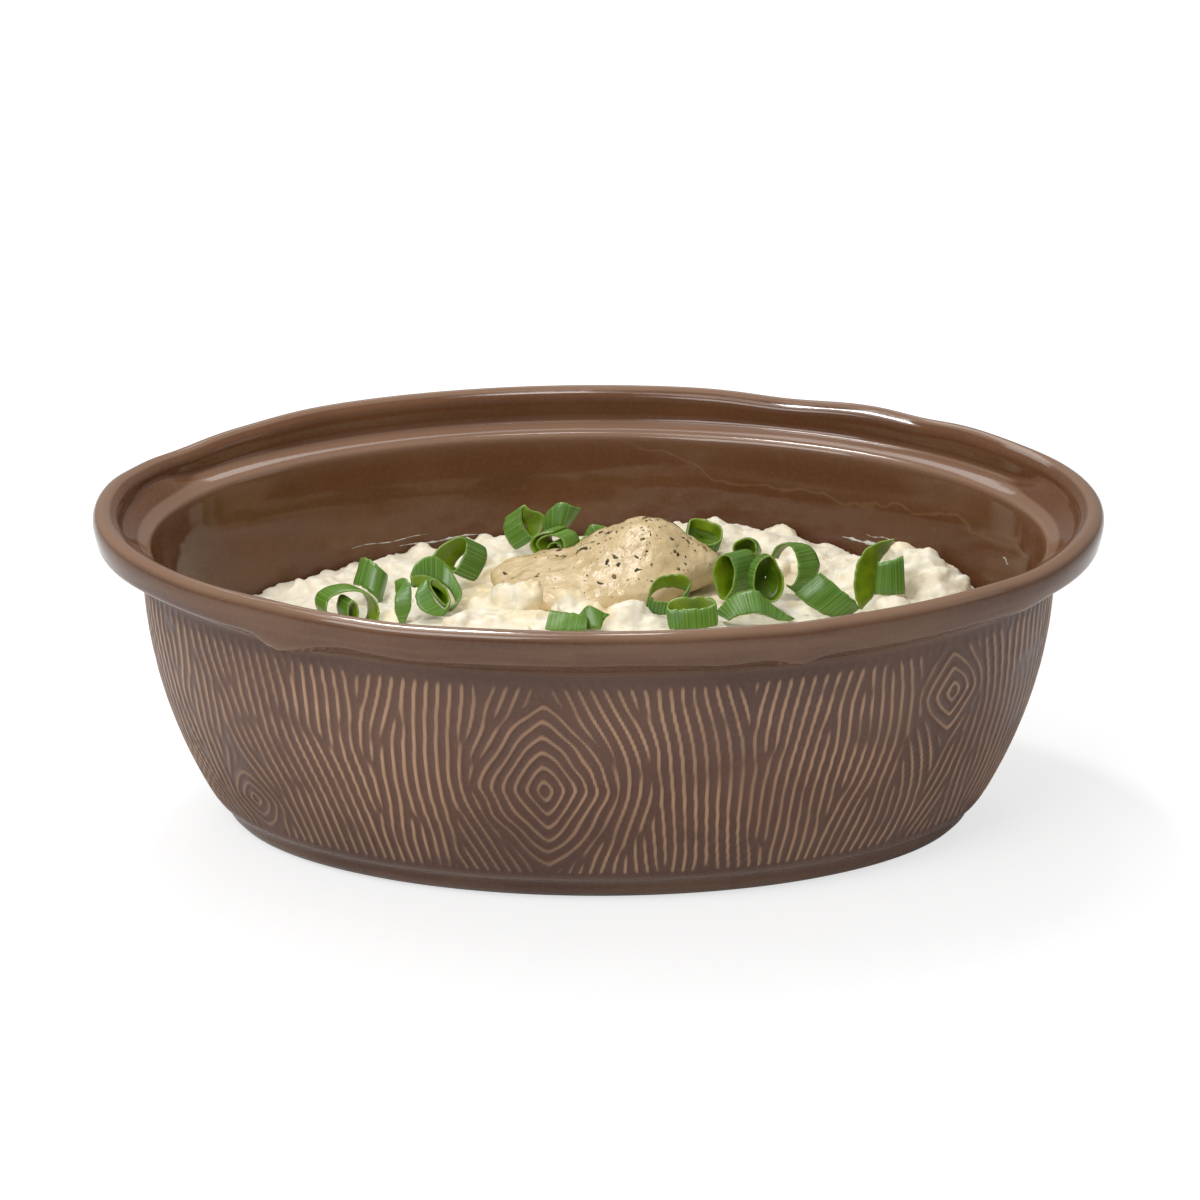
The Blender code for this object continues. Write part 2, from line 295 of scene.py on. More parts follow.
def outer_inset(z):
    depth = np.clip(1.0 - z / WALL_TOP_Z, 0.0, None)
    return WALL_TOP_INSET + WALL_FLARE * depth**WALL_FLARE_POWER


def inner_inset(z):
    corner = np.clip(1.0 - (z - FLOOR_Z) / (11 * MM), 0.0, None)
    return outer_inset(z) + WALL_THICKNESS + 7 * MM * corner**2


def even_angles(count, steps=7200):
    """Angles whose points are evenly spaced along the middle of the wall."""
    angle = np.linspace(0.0, math.tau, steps + 1)
    x = (HALF_LENGTH - 12 * MM) * np.cos(angle)
    y = (HALF_WIDTH - 12 * MM) * np.sin(angle)
    length = np.concatenate([[0.0], np.cumsum(np.hypot(np.diff(x), np.diff(y)))])
    spots = np.linspace(0.0, length[-1], count, endpoint=False)
    return np.interp(spots, length, angle), length[-1]


def grain_field(angles, perimeter):
    """Wavy, forking wood grain on a grid of the wall: -1 in the grooves to 1 on the ridges."""
    width = len(angles)
    cell = perimeter / MM / width
    height = int(GRAIN_HEIGHT / cell)
    along = np.arange(width) * cell
    up = np.arange(height) * cell + GRAIN_BOTTOM
    s, z = np.meshgrid(along, up)
    ring = s / (perimeter / MM) * math.tau
    round_trip = np.stack([GRAIN_RADIUS * np.cos(ring), GRAIN_RADIUS * np.sin(ring), z], -1)
    lean = math.radians(9) * noise3(round_trip, 26.0, 3) + math.radians(20) * noise3(round_trip, 9.0, 5)
    lean = lean + math.radians(12) * noise3(round_trip, 5.0, 6)
    double = np.stack([np.cos(2 * lean), np.sin(2 * lean)], -1)
    fixed = np.zeros_like(s)
    rings = np.zeros_like(s)
    for centre, knot_z, reach_s, reach_z, slope in KNOTS:
        spot = np.interp(math.radians(centre), np.append(angles, math.tau), np.append(along, perimeter / MM))
        away_s = (s - spot + perimeter / MM / 2) % (perimeter / MM) - perimeter / MM / 2
        away_s = away_s + 0.8 * noise3(round_trip, 7.0, 11)
        away_z = z - knot_z
        grade_s = away_s / np.sqrt(away_s**2 + 1.2)
        grade_z = slope * away_z / np.sqrt(away_z**2 + (0.22 * reach_z) ** 2)
        line = np.arctan2(grade_z, grade_s)
        far = np.abs(away_s / reach_s) ** 1.35 + np.abs(away_z / reach_z) ** 1.35
        far = far ** (1 / 1.35)
        tall = (away_s / (1.25 * reach_s)) ** 2 + (away_z / (1.45 * reach_z)) ** 2
        weight = np.exp(-(tall**1.5))[..., None]
        inner = smoothstep(1.0, 0.85, far)
        turns = (far * reach_s - 1.5 + 0.45 * noise3(round_trip, 5.0, 13)) / GRAIN_SPACING
        rings = rings * (1 - inner) + inner * np.cos(math.tau * turns)
        fixed = np.maximum(fixed, inner)
        turned = np.stack([np.cos(2 * line), np.sin(2 * line)], -1)
        double = double * (1 - weight) + turned * weight
    theta = 0.5 * np.arctan2(double[..., 1], double[..., 0])
    fs = np.fft.fftfreq(width, cell)[None, :]
    fz = np.fft.fftfreq(height, cell)[:, None]
    centre_f = 1.0 / GRAIN_SPACING
    spread = 0.34 * centre_f
    filters = []
    for index in range(GRAIN_DIRECTIONS):
        tilt = math.pi * index / GRAIN_DIRECTIONS
        for_s, for_z = math.cos(tilt) * centre_f, math.sin(tilt) * centre_f
        lobe = np.exp(-((fs - for_s) ** 2 + (fz - for_z) ** 2) / (2 * (spread / 2) ** 2))
        lobe = lobe + np.exp(-((fs + for_s) ** 2 + (fz + for_z) ** 2) / (2 * (spread / 2) ** 2))
        filters.append(lobe)
    choice = (theta / math.pi * GRAIN_DIRECTIONS) % GRAIN_DIRECTIONS
    low = np.floor(choice).astype(int) % GRAIN_DIRECTIONS
    part = choice - np.floor(choice)
    image = np.random.default_rng(GRAIN_SEED).normal(size=(height, width))
    for turn in range(GRAIN_ROUNDS):
        spectrum = np.fft.fft2(image)
        answers = np.stack([np.real(np.fft.ifft2(spectrum * lobe)) for lobe in filters])
        first = np.take_along_axis(answers, low[None], 0)[0]
        second = np.take_along_axis(answers, ((low + 1) % GRAIN_DIRECTIONS)[None], 0)[0]
        image = first * (1 - part) + second * part
        image = image * (1 - fixed) + rings * fixed * 1.3 * image.std()
        image = np.tanh((2.2 if turn < GRAIN_ROUNDS - 1 else 1.0) * image / image.std())
    return image / np.abs(image).max(), up * MM


def degrees_from(angles, centre):
    return (np.degrees(angles) - centre + 180.0) % 360.0 - 180.0


def wave_shift(waves, angles):
    shift = np.zeros(len(angles))
    for centre, before, after, rise in waves:
        away = degrees_from(angles, centre)
        shift += rise * np.exp(-((away / np.where(away < 0, before, after)) ** 2))
    return shift


def groove_fill(angles):
    """1 where the groove inside the bead runs out into the flat shelf of a handle, 0 elsewhere."""
    fill = np.zeros(len(angles))
    for centre in (160.0, 17.0, 197.0, 340.0):
        fill += 0.6 * np.exp(-((degrees_from(angles, centre) / 6.5) ** 2))
    for centre in (0.0, 180.0):
        fill += 0.62 * np.exp(-((degrees_from(angles, centre) / 18.0) ** 4))
    return np.clip(fill, 0.0, 1.0)


# The lip, crown, ledge and foot in section: (inset, height) in mm, and for the lip its share of the waves
LIP = (
    (10.65, 61.6, 0.1), (10.3, 62.5, 0.2), (9.2, 63.2, 0.35), (7.2, 64.2, 0.6), (5.0, 65.3, 0.8),
    (3.3, 66.3, 1.0), (2.2, 67.0, 1.0), (1.6, 67.35, 1.0), (1.1, 67.6, 1.0), (0.8, 68.1, 0.95),
    (0.6, 68.9, 0.7), (0.32, 70.2, 0.35), (0.1, 71.4, 0.1),
)
CROWN = (
    (0.0, 72.5), (0.08, 73.35), (0.35, 74.15), (0.78, 74.66), (1.16, 74.88), (1.55, 75.06), (1.95, 75.21),
    (2.35, 75.27), (2.8, 75.19), (3.5, 74.85), (4.3, 74.45), (5.0, 74.08), (5.36, 73.76), (5.6, 73.2),
    (5.74, 72.4), (5.84, 71.4),
)
LEDGE = (
    (5.95, 69.9), (6.1, 68.7), (6.4, 68.0), (6.8, 67.72), (7.3, 67.7), (7.9, 67.8), (8.6, 67.82), (9.4, 67.6),
    (10.8, 67.25), (11.7, 66.95), (12.3, 66.55), (12.7, 66.0), (12.9, 65.3), (13.05, 64.3), (13.3, 62.6),
    (13.75, 60.0),
)
BOWL_LEVELS = np.linspace(57.0, 7.5, 16) * MM
FOOT = (
    (37.2, 1.2), (36.3, 0.7), (35.4, 0.1), (34.6, 0.0), (33.0, 0.0), (31.4, 0.25), (29.6, 1.2), (28.3, 2.6),
    (27.5, 4.2), (27.05, 5.4), (26.3, 6.1), (25.2, 6.9),
)


def lip_section():
    """From the top of the wall, round the lip and bead, over the ledge and down to the floor."""
    section = [(inset * MM, z * MM, wave) for inset, z, wave in LIP]
    section += [(inset * MM, z * MM, 0.0) for inset, z in CROWN + LEDGE]
    return section + [(float(inner_inset(z)), z, 0.0) for z in BOWL_LEVELS]


def foot_section():
    """From the middle of the underside to the start of the relief."""
    return [(inset * MM, z * MM, 0.0) for inset, z in FOOT]


# Where the groove is filled, the shelf falls straight from the crown to the ledge.
SHELF_START = 5.9 * MM
SHELF_END = 11.5 * MM
SHELF_HIGH_Z = 72.0 * MM
SHELF_LOW_Z = 67.0 * MM


def ring_points(section, angles):
    waves = wave_shift(LIP_WAVES, angles)
    beads = wave_shift(BEAD_WAVES, angles)
    fill = groove_fill(angles)
    rings = []
    for inset, z, wave in section:
        x = (HALF_LENGTH - inset) * np.cos(angles)
        y = (HALF_WIDTH - inset) * np.sin(angles)
        level = np.full(len(angles), float(z))
        if SHELF_START <= inset <= SHELF_END and z > WALL_TOP_Z:
            share = (inset - SHELF_START) / (SHELF_END - SHELF_START)
            slope = SHELF_HIGH_Z + (SHELF_LOW_Z - SHELF_HIGH_Z) * share
            level = level + fill * max(0.0, slope - z)
        level = level + beads * smoothstep(67.5 * MM, 70.5 * MM, z) + wave * waves
        rings.append(np.stack([x, y, np.minimum(level, BEAD_TOP)], -1))
    return np.array(rings)


def make_dish(material):
    angles, perimeter = even_angles(WALL_COLUMNS)
    plain = angles[::PLAIN_STEP]
    field, field_z = grain_field(angles, perimeter)
    heights = np.linspace(RELIEF_LOW_Z, RELIEF_HIGH_Z - 1.6 * MM, WALL_ROWS)
    wall = ring_points([(float(outer_inset(z)), z, 0.0) for z in heights], angles)
    rows = np.interp(heights, field_z, np.arange(len(field_z)))
    low = rows.astype(int)
    part = (rows - low)[:, None]
    grain = field[low] * (1 - part) + field[low + 1] * part
    strength = 0.75 + 0.35 * noise3(wall, 22 * MM, 31)
    ridge = smoothstep(-0.25, 0.95, grain) ** 1.5 * np.clip(strength, 0.3, 1.0)
    fade = smoothstep(RELIEF_LOW_Z, RELIEF_LOW_Z + 2.2 * MM, heights + 0.7 * MM)
    fade = fade * (1 - 0.75 * smoothstep(RELIEF_HIGH_Z - 5 * MM, RELIEF_HIGH_Z - 1 * MM, heights))
    ridge = ridge * fade[:, None]
    tangent = np.roll(wall, -1, 1) - np.roll(wall, 1, 1)
    rising = np.gradient(wall, axis=0)
    normal = np.cross(tangent, rising)
    normal /= np.linalg.norm(normal, axis=-1, keepdims=True)
    wall = wall + normal * ((ridge - 0.35 * fade[:, None]) * RELIEF_HEIGHT)[..., None]
    foot = ring_points(foot_section(), plain)
    section = lip_section()
    rim = ring_points(section, plain)
    small = len(plain)
    points = np.concatenate([foot.reshape(-1, 3), wall.reshape(-1, 3), rim.reshape(-1, 3)])
    faces = [tuple(reversed(range(small)))]

    def bands(start, levels, count):
        for level in range(levels - 1):
            lower = start + level * count
            upper = lower + count
            for i in range(count):
                j = (i + 1) % count
                faces.append((lower + i, lower + j, upper + j, upper + i))

    foot_levels = len(foot)
    wall_start = foot_levels * small
    rim_start = wall_start + WALL_ROWS * WALL_COLUMNS
    bands(0, foot_levels, small)
    bands(wall_start, WALL_ROWS, WALL_COLUMNS)
    bands(rim_start, len(rim), small)
    last_foot = (foot_levels - 1) * small
    last_wall = wall_start + (WALL_ROWS - 1) * WALL_COLUMNS
    for i in range(small):
        j = (i + 1) % small
        fine = [(i * PLAIN_STEP + k) % WALL_COLUMNS for k in range(PLAIN_STEP + 1)]
        faces.append((last_foot + i, last_foot + j, *(wall_start + k for k in reversed(fine))))
        faces.append((*(last_wall + k for k in fine), rim_start + j, rim_start + i))
    last = rim_start + (len(rim) - 1) * small
    faces.append(tuple(range(last, last + small)))
    dish = new_object("dish_glazed", points, faces, material)
    values = np.full(len(points), -1.0)
    values[wall_start:rim_start] = (grain * fade[:, None] - 1 + fade[:, None]).reshape(-1)
    add_attribute(dish, "ridge", values)
    inside = np.zeros(len(points))
    insets = np.array([inset for inset, _, _ in section])
    levels = smoothstep(3.0 * MM, 5.0 * MM, insets)
    levels[:LIP_LEVELS] = 0.0
    inside[rim_start:] = np.repeat(levels, small)
    add_attribute(dish, "inside", inside)
    wall_mask = np.zeros(len(points))
    wall_mask[wall_start:rim_start] = 1.0
    add_attribute(dish, "wall", wall_mask)
    # Painted highlight: the bead top and the ledge's inner rounding are marked to be lightened; the lip's
    # lower edge gets a lighter line that is partly thin glaze and partly painted highlight.
    bead = np.zeros((len(rim), small))
    for level, (inset, z, _) in enumerate(section):
        bead[level] = smoothstep(BEAD_TOP - 2.6 * MM, BEAD_TOP, z)
        if inset > 4 * MM:
            bead[level] = 0.6 * math.exp(-(((inset - 12.4 * MM) / (0.9 * MM)) ** 2))
    edge = np.exp(-(((insets - 1.5 * MM) / (0.9 * MM)) ** 2))
    edge = edge * (np.array([z for _, z, _ in section]) < 68.2 * MM)
    bead = np.maximum(bead, 0.5 * edge[:, None])
    highlight_and_glaze_break = np.zeros(len(points))
    highlight_and_glaze_break[rim_start:] = bead.reshape(-1)
    add_attribute(dish, "edge", highlight_and_glaze_break)
    return stand_for(dish, "dish")


def glaze_material():
    m = Nodes("brown_glaze")
    cloud = m.ramp(m.noise(28.0, 4.0, 0.6), 0.35, 0.68)
    streak = m.ramp(m.noise(90.0, 3.0, 0.6, (0.25, 0.25, 3.0)), 0.38, 0.70)
    speck = m.ramp(m.noise(1100.0, 2.0, 0.5), 0.42, 0.75)
    wall = m.attribute("wall")
    inside = m.attribute("inside")
    grain = m.attribute("ridge")
    rim = m.mix(cloud, (0.094, 0.040, 0.020), (0.128, 0.060, 0.031))
    rim = m.mix(m.times(streak, 0.45), rim, (0.185, 0.100, 0.054))
    bowl = m.mix(cloud, (0.122, 0.050, 0.021), (0.148, 0.064, 0.028))
    place = m.add("ShaderNodeSeparateXYZ")
    m.link(m.add("ShaderNodeTexCoord").outputs["Object"], place.inputs[0])
    x, y, z = place.outputs
    wander = m.ramp(m.noise(70.0, 3.0, 0.55), 0.25, 0.75, -0.0022, 0.0022)
    tide = m.math("ADD", m.ramp(x, 0.010, 0.038, 0.0640, 0.0562), wander)
    above = m.math("SUBTRACT", z, tide)
    back_right = m.times(m.ramp(x, 0.004, 0.014), m.ramp(y, 0.020, 0.034))
    near_line = m.times(m.ramp(above, -0.0006, 0.0), m.ramp(above, 0.0002, 0.0005, 1.0, 0.0))
    below = m.times(m.ramp(above, -0.0004, 0.0, 1.0, 0.0), back_right)
    bowl = m.mix(m.times(below, 0.45), bowl, (0.120, 0.044, 0.020))
    tide_mark = m.times(m.times(near_line, back_right), 0.28)
    bowl = m.mix(tide_mark, bowl, (0.26, 0.155, 0.085))
    base = m.mix(inside, rim, bowl)
    low = m.mix(cloud, (0.094, 0.042, 0.026), (0.120, 0.056, 0.033))
    strong = m.ramp(m.noise(34.0, 2.0, 0.5), 0.30, 0.68, 0.45, 1.0)
    line = m.times(m.ramp(grain, 0.22, 0.92), strong)
    low = m.mix(line, low, (0.42, 0.250, 0.145))
    base = m.mix(wall, base, low)
    base = m.mix(m.times(speck, 0.16), base, (0.20, 0.115, 0.070))
    # Lighter tan where the edge attribute is set: painted highlight on the bead top and the ledge's inner
    # rounding, and thin glaze with painted highlight on the lip's lower edge.
    base = m.mix(m.ramp(m.attribute("edge"), 0.1, 1.0, 0.0, 0.55), base, (0.33, 0.205, 0.135))
    # Painted sheen: the upward-facing ledge is lightened, as light from above would make it.
    facing = m.add("ShaderNodeSeparateXYZ")
    m.link(m.add("ShaderNodeNewGeometry").outputs["Normal"], facing.inputs[0])
    shelf = m.times(m.ramp(z, 0.0645, 0.0668, 0.0, 1.0), m.ramp(z, 0.0678, 0.0684, 1.0, 0.0))
    shelf = m.times(shelf, m.ramp(facing.outputs[2], 0.25, 0.75))
    base = m.mix(m.times(shelf, 0.50), base, (0.310, 0.195, 0.135))
    m.colour(base)
    m.link(m.ramp(wall, 0.0, 1.0, 0.10, 0.32), m.shader.inputs["Roughness"])
    m.set(Specular_IOR_Level=0.42, IOR=1.5)
    m.bump(m.noise(160.0, 2.0, 0.5), 0.05, 0.0006)
    return m.material


# ---- mashed potato

VOXEL = 0.84 * MM
BLOBS = 1100
# Potato pushed up round the front of the sauce: (x, y, z, radius), mm
FRONT_LUMPS = (
    (-15.5, 7.2, 49.2, 5.0),
    (-14.8, 8.4, 51.6, 2.4),
    (-20.8, 9.6, 48.2, 4.4),
    (-7.0, 4.2, 48.8, 4.8),
    (-1.0, 1.2, 47.6, 3.8),
    (6.8, -3.4, 48.8, 4.8),
    (12.5, -5.0, 47.2, 3.4),
    (24.0, 9.0, 46.0, 3.0),
    (-30.0, -4.0, 46.6, 5.2),
    (-22.0, -14.0, 46.4, 5.6),
    (44.0, -14.0, 46.2, 5.0),
    (60.0, -6.0, 46.6, 4.6),
    (66.0, 2.0, 48.6, 4.2),
    (66.2, 26.5, 54.0, 1.9),
    (66.0, 26.3, 55.8, 1.0),
)


def noisy_blob(centre, size, flat, seed):
    """A lumpy pebble of potato as points and faces."""
    bm_points, bm_faces = BLOB_SHAPE
    points = bm_points * size * np.array((1.0, 1.0, flat))
    bulge = 1.0 + 0.32 * noise3(bm_points * 1.3 + seed * 7.1, 1.0, seed % 97)[:, None]
    turn = np.array(Matrix.Rotation(seed * 1.7, 3, "Z") @ Matrix.Rotation(0.5 * math.sin(seed), 3, "X"))
    return (points * bulge) @ turn.T + centre, bm_faces


def icosphere(levels):
    bm = bmesh.new()
    bmesh.ops.create_icosphere(bm, subdivisions=levels, radius=1.0)
    points = np.array([v.co[:] for v in bm.verts])
    faces = [tuple(v.index for v in f.verts) for f in bm.faces]
    bm.free()
    return points, faces


BLOB_SHAPE = icosphere(2)


def inside_wall(x, y, z, margin):
    inset = inner_inset(z) + margin
    return (x / (HALF_LENGTH - inset)) ** 2 + (y / (HALF_WIDTH - inset)) ** 2 < 1.0


def scallion_spots():
    spots = []
    for name in sorted(NODES):
        if name.startswith("scallion"):
            low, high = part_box(name)
            spots.append(((low[0] + high[0]) / 2, (low[1] + high[1]) / 2, low[2], (high[0] - low[0]) / 2))
    return spots


def make_mash(material):
    base = NODES["mash"].data
    tree = world_tree(NODES["mash"])
    sauce_tree = world_tree(NODES["herb_sauce"])
    spots = scallion_spots()
    points = [mesh_arrays(base)]
    faces = faces_of(base)
    total = len(points[0])

    def top(x, y):
        spot = hit_from_above(tree, x, y)[0]
        return spot.z if spot else None

    def add(centre, size, flat, seed):
        nonlocal total
        blob, blob_faces = noisy_blob(np.array(centre), size, flat, seed)
        points.append(blob)
        faces.extend(tuple(i + total for i in face) for face in blob_faces)
        total += len(blob)

    low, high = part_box("mash")
    made = 0
    seed = 0
    while made < BLOBS:
        seed += 1
        x = RNG.uniform(low[0], high[0])
        y = RNG.uniform(low[1], high[1])
        size = (1.1 + 3.0 * RNG.random() ** 2.4) * MM
        z = top(x, y)
        if z is None or not inside_wall(x, y, z, size * 0.9):
            continue
        if hit_from_above(sauce_tree, x, y)[0] is not None:
            continue
        if any(math.hypot(x - sx, y - sy) < sr * 0.75 + size * 0.4 for sx, sy, _, sr in spots):
            size *= 0.5
        add((x, y, z - size * 0.35), size, 0.75, seed)
        made += 1
    for x, y, z, size in FRONT_LUMPS:
        seed += 1
        add((x * MM, y * MM, z * MM), size * MM, 0.8, seed)
    mash = new_object("mash_lumpy", np.concatenate(points), faces, material)
    bpy.context.view_layer.objects.active = mash
    remesh = mash.modifiers.new("join", "REMESH")
    remesh.mode = "VOXEL"
    remesh.voxel_size = VOXEL
    apply_modifiers(mash)
    shape_mash(mash)
    return stand_for(mash, "mash")


def apply_modifiers(obj):
    graph = bpy.context.evaluated_depsgraph_get()
    made = bpy.data.meshes.new_from_object(obj.evaluated_get(graph))
    obj.modifiers.clear()
    obj.data = made
    made.shade_smooth()


# Where the top sits lower than the core: (x, y, drop, half lengths across and along), mm
MASH_DROPS = ((26, 46, 1.7, 26, 15), (84, 27, 2.6, 12, 18), (-50, 30, 0.9, 22, 22), (70, 26, 0.8, 20, 16))


def shape_mash(mash):
    """Curd-like lumps and fine crumbs on the top, and the top's share of butter."""
    mesh = mash.data
    points = mesh_arrays(mesh)
    normals = vertex_normals(mesh)
    upper = smoothstep(0.1, 0.5, normals[:, 2]) * smoothstep(30 * MM, 36 * MM, points[:, 2])
    warped = points + 1.1 * MM * np.stack([noise3(points, 2.6 * MM, k) for k in (41, 42, 43)], -1)
    coarse = np.abs(noise3(warped, 4.4 * MM, 44)) ** 0.7
    medium = np.abs(noise3(warped, 2.3 * MM, 45)) ** 0.7
    small = np.abs(noise3(warped, 1.25 * MM, 46))
    patch = smoothstep(-0.3, 0.4, noise3(points, 11 * MM, 51))
    lift = (coarse - 0.42) * 1.35 * MM * (0.35 + 0.65 * patch) + (medium - 0.42) * 0.7 * MM
    lift += (small - 0.3) * 0.42 * MM * (0.4 + 0.6 * patch)
    points = points + normals * (lift * upper)[:, None]
    height_share = smoothstep(34 * MM, 44 * MM, points[:, 2])
    drop = 0.5 * MM * np.ones(len(points))
    for x, y, depth, half_x, half_y in MASH_DROPS:
        away = ((points[:, 0] / MM - x) / half_x) ** 2 + ((points[:, 1] / MM - y) / half_y) ** 2
        drop += depth * MM * np.exp(-away)
    points[:, 2] -= drop * height_share
    move_points(mesh, points)
    # Painted shade: where the lumps dip, the colour is to be darkened in place of the shade in the crevices.
    crevice_shade = smoothstep(0.35, 0.05, coarse) * 0.45 + smoothstep(0.30, 0.05, medium) * 0.35
    add_attribute(mash, "crevice_shade", crevice_shade * upper)
    butter = smoothstep(0.25, 0.75, fractal(points + 0.4, 12 * MM, 3, 71) * 0.8)
    butter = np.maximum(butter * 0.6, butter_pools(points))
    add_attribute(mash, "butter", butter)


# Films of potato on the wall above the mash: (first and last angle in degrees, height at each, width in mm)
SMEARS = (
    (126.7, 114.4, 43.9, 44.7, 0.45),
    (119.0, 106.0, 42.6, 43.8, 0.9),
    (54.0, 40.0, 46.4, 46.6, 2.0),
    (50.0, 44.0, 48.2, 48.0, 0.4),
    (19.4, 17.4, 53.6, 52.4, 0.9),
    (11.6, 9.8, 51.6, 52.4, 0.8),
)
SMEAR_STEPS = 48
SMEAR_LIFT = 0.12 * MM


def make_smears(material):
    """Thin ragged films and crumbs of potato on the inside of the baker."""
    points, faces = [], []
    for number, (first, last, low, high, width) in enumerate(SMEARS):
        start = len(points)
        for step in range(SMEAR_STEPS + 1):
            share = step / SMEAR_STEPS
            angle = math.radians(first + (last - first) * share)
            middle = (low + (high - low) * share) * MM + 0.25 * MM * math.sin(9.0 * share + number)
            ragged = 0.55 + 0.3 * math.sin(31.0 * share + 2.0 * number) + 0.15 * math.sin(67.0 * share)
            half = width * MM * 0.5 * ragged * math.sin(math.pi * min(max(share, 0.02), 0.98)) ** 0.5
            for z, lift in ((middle - half, -0.2), (middle, 1.0), (middle + half, -0.2), (middle, -1.5)):
                inset = float(inner_inset(z)) + lift * SMEAR_LIFT
                x = (HALF_LENGTH - inset) * math.cos(angle)
                y = (HALF_WIDTH - inset) * math.sin(angle)
                points.append((x, y, z))
        for step in range(SMEAR_STEPS):
            row = start + 4 * step
            for k in range(4):
                faces.append((row + k, row + (k + 1) % 4, row + 4 + (k + 1) % 4, row + 4 + k))
        faces.append(tuple(start + k for k in range(4)))
        faces.append(tuple(start + 4 * SMEAR_STEPS + k for k in reversed(range(4))))
    smears = new_object("mash_smears", points, faces, material)
    fix_normals(smears)
    return smears


def butter_pools(points):
    """Oily yellow where melted butter ran from the sauce."""
    low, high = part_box("herb_sauce")
    centre = ((low[0] + high[0]) / 2, (low[1] + high[1]) / 2)
    away = np.hypot((points[:, 0] - centre[0]) / 0.034, (points[:, 1] - centre[1]) / 0.026)
    return smoothstep(1.25, 0.95, away) * smoothstep(-0.2, 0.5, noise3(points, 7 * MM, 81)) * 0.8


def potato_material():
    m = Nodes("mashed_potato")
    fine = m.ramp(m.noise(420.0, 3.0, 0.6), 0.3, 0.7)
    base = m.mix(fine, (0.79, 0.71, 0.54), (0.86, 0.805, 0.67))
    base = m.mix(m.ramp(m.attribute("butter"), 0.0, 1.0, 0.0, 0.60), base, (0.80, 0.62, 0.30))
    # Painted shade in the crevices between the lumps.
    base = m.mix(m.ramp(m.attribute("crevice_shade"), 0.1, 0.9, 0.0, 0.45), base, (0.72, 0.60, 0.39))
    m.colour(base)
    m.link(m.ramp(m.attribute("butter"), 0.0, 1.0, 0.50, 0.30), m.shader.inputs["Roughness"])
    m.set(Subsurface_Weight=0.45, Subsurface_Scale=0.0022, Specular_IOR_Level=0.4)
    m.set(Subsurface_Radius=(1.0, 0.8, 0.5))
    m.bump(m.noise(1300.0, 4.0, 0.65), 0.35, 0.0003)
    return m.material


# ---- herb sauce


SAUCE_VOXEL = 0.5 * MM
SAUCE_SMOOTHING = 6


def make_sauce(material):
    node = NODES["herb_sauce"]
    sauce = new_object("herb_sauce_spoonful", mesh_arrays(node.data), faces_of(node.data), material)
    weld = sauce.modifiers.new("weld", "WELD")
    weld.merge_threshold = 0.00001
    remesh = sauce.modifiers.new("even", "REMESH")
    remesh.mode = "VOXEL"
    remesh.voxel_size = SAUCE_VOXEL
    smooth = sauce.modifiers.new("smooth", "SMOOTH")
    smooth.iterations = SAUCE_SMOOTHING
    apply_modifiers(sauce)
    mesh = sauce.data
    points = mesh_arrays(mesh)
    normals = vertex_normals(mesh)
    upper = smoothstep(-0.1, 0.4, normals[:, 2])
    lift = 0.75 * MM * noise3(points, 7 * MM, 91) + 0.38 * MM * noise3(points, 3.2 * MM, 92)
    lift += 0.24 * MM * np.abs(noise3(points, 1.7 * MM, 93))
    points = points + normals * (lift * upper)[:, None]
    move_points(mesh, points)
    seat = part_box("herb_sauce")[0][2]
    add_attribute(sauce, "thin", smoothstep(3.2 * MM, 0.4 * MM, points[:, 2] - seat))
    return stand_for(sauce, "herb_sauce")


def sauce_material():
    m = Nodes("herb_sauce")
    cloud = m.ramp(m.noise(140.0, 3.0, 0.6), 0.3, 0.7)
    base = m.mix(cloud, (0.58, 0.43, 0.22), (0.72, 0.56, 0.33))
    base = m.mix(m.ramp(m.attribute("thin"), 0.0, 1.0, 0.0, 0.6), base, (0.56, 0.43, 0.20))
    grain = m.ramp(m.noise(1300.0, 2.0, 0.6), 0.60, 0.70)
    base = m.mix(m.times(grain, 0.35), base, (0.33, 0.22, 0.09))
    m.colour(base)
    m.set(Roughness=0.20, Subsurface_Weight=0.3, Subsurface_Scale=0.002, Specular_IOR_Level=0.6)
    m.set(Subsurface_Radius=(1.0, 0.7, 0.35))
    m.bump(m.noise(480.0, 4.0, 0.65), 0.65, 0.0006)
    return m.material


FLECKS = 210
FLECK_SIDES = 7


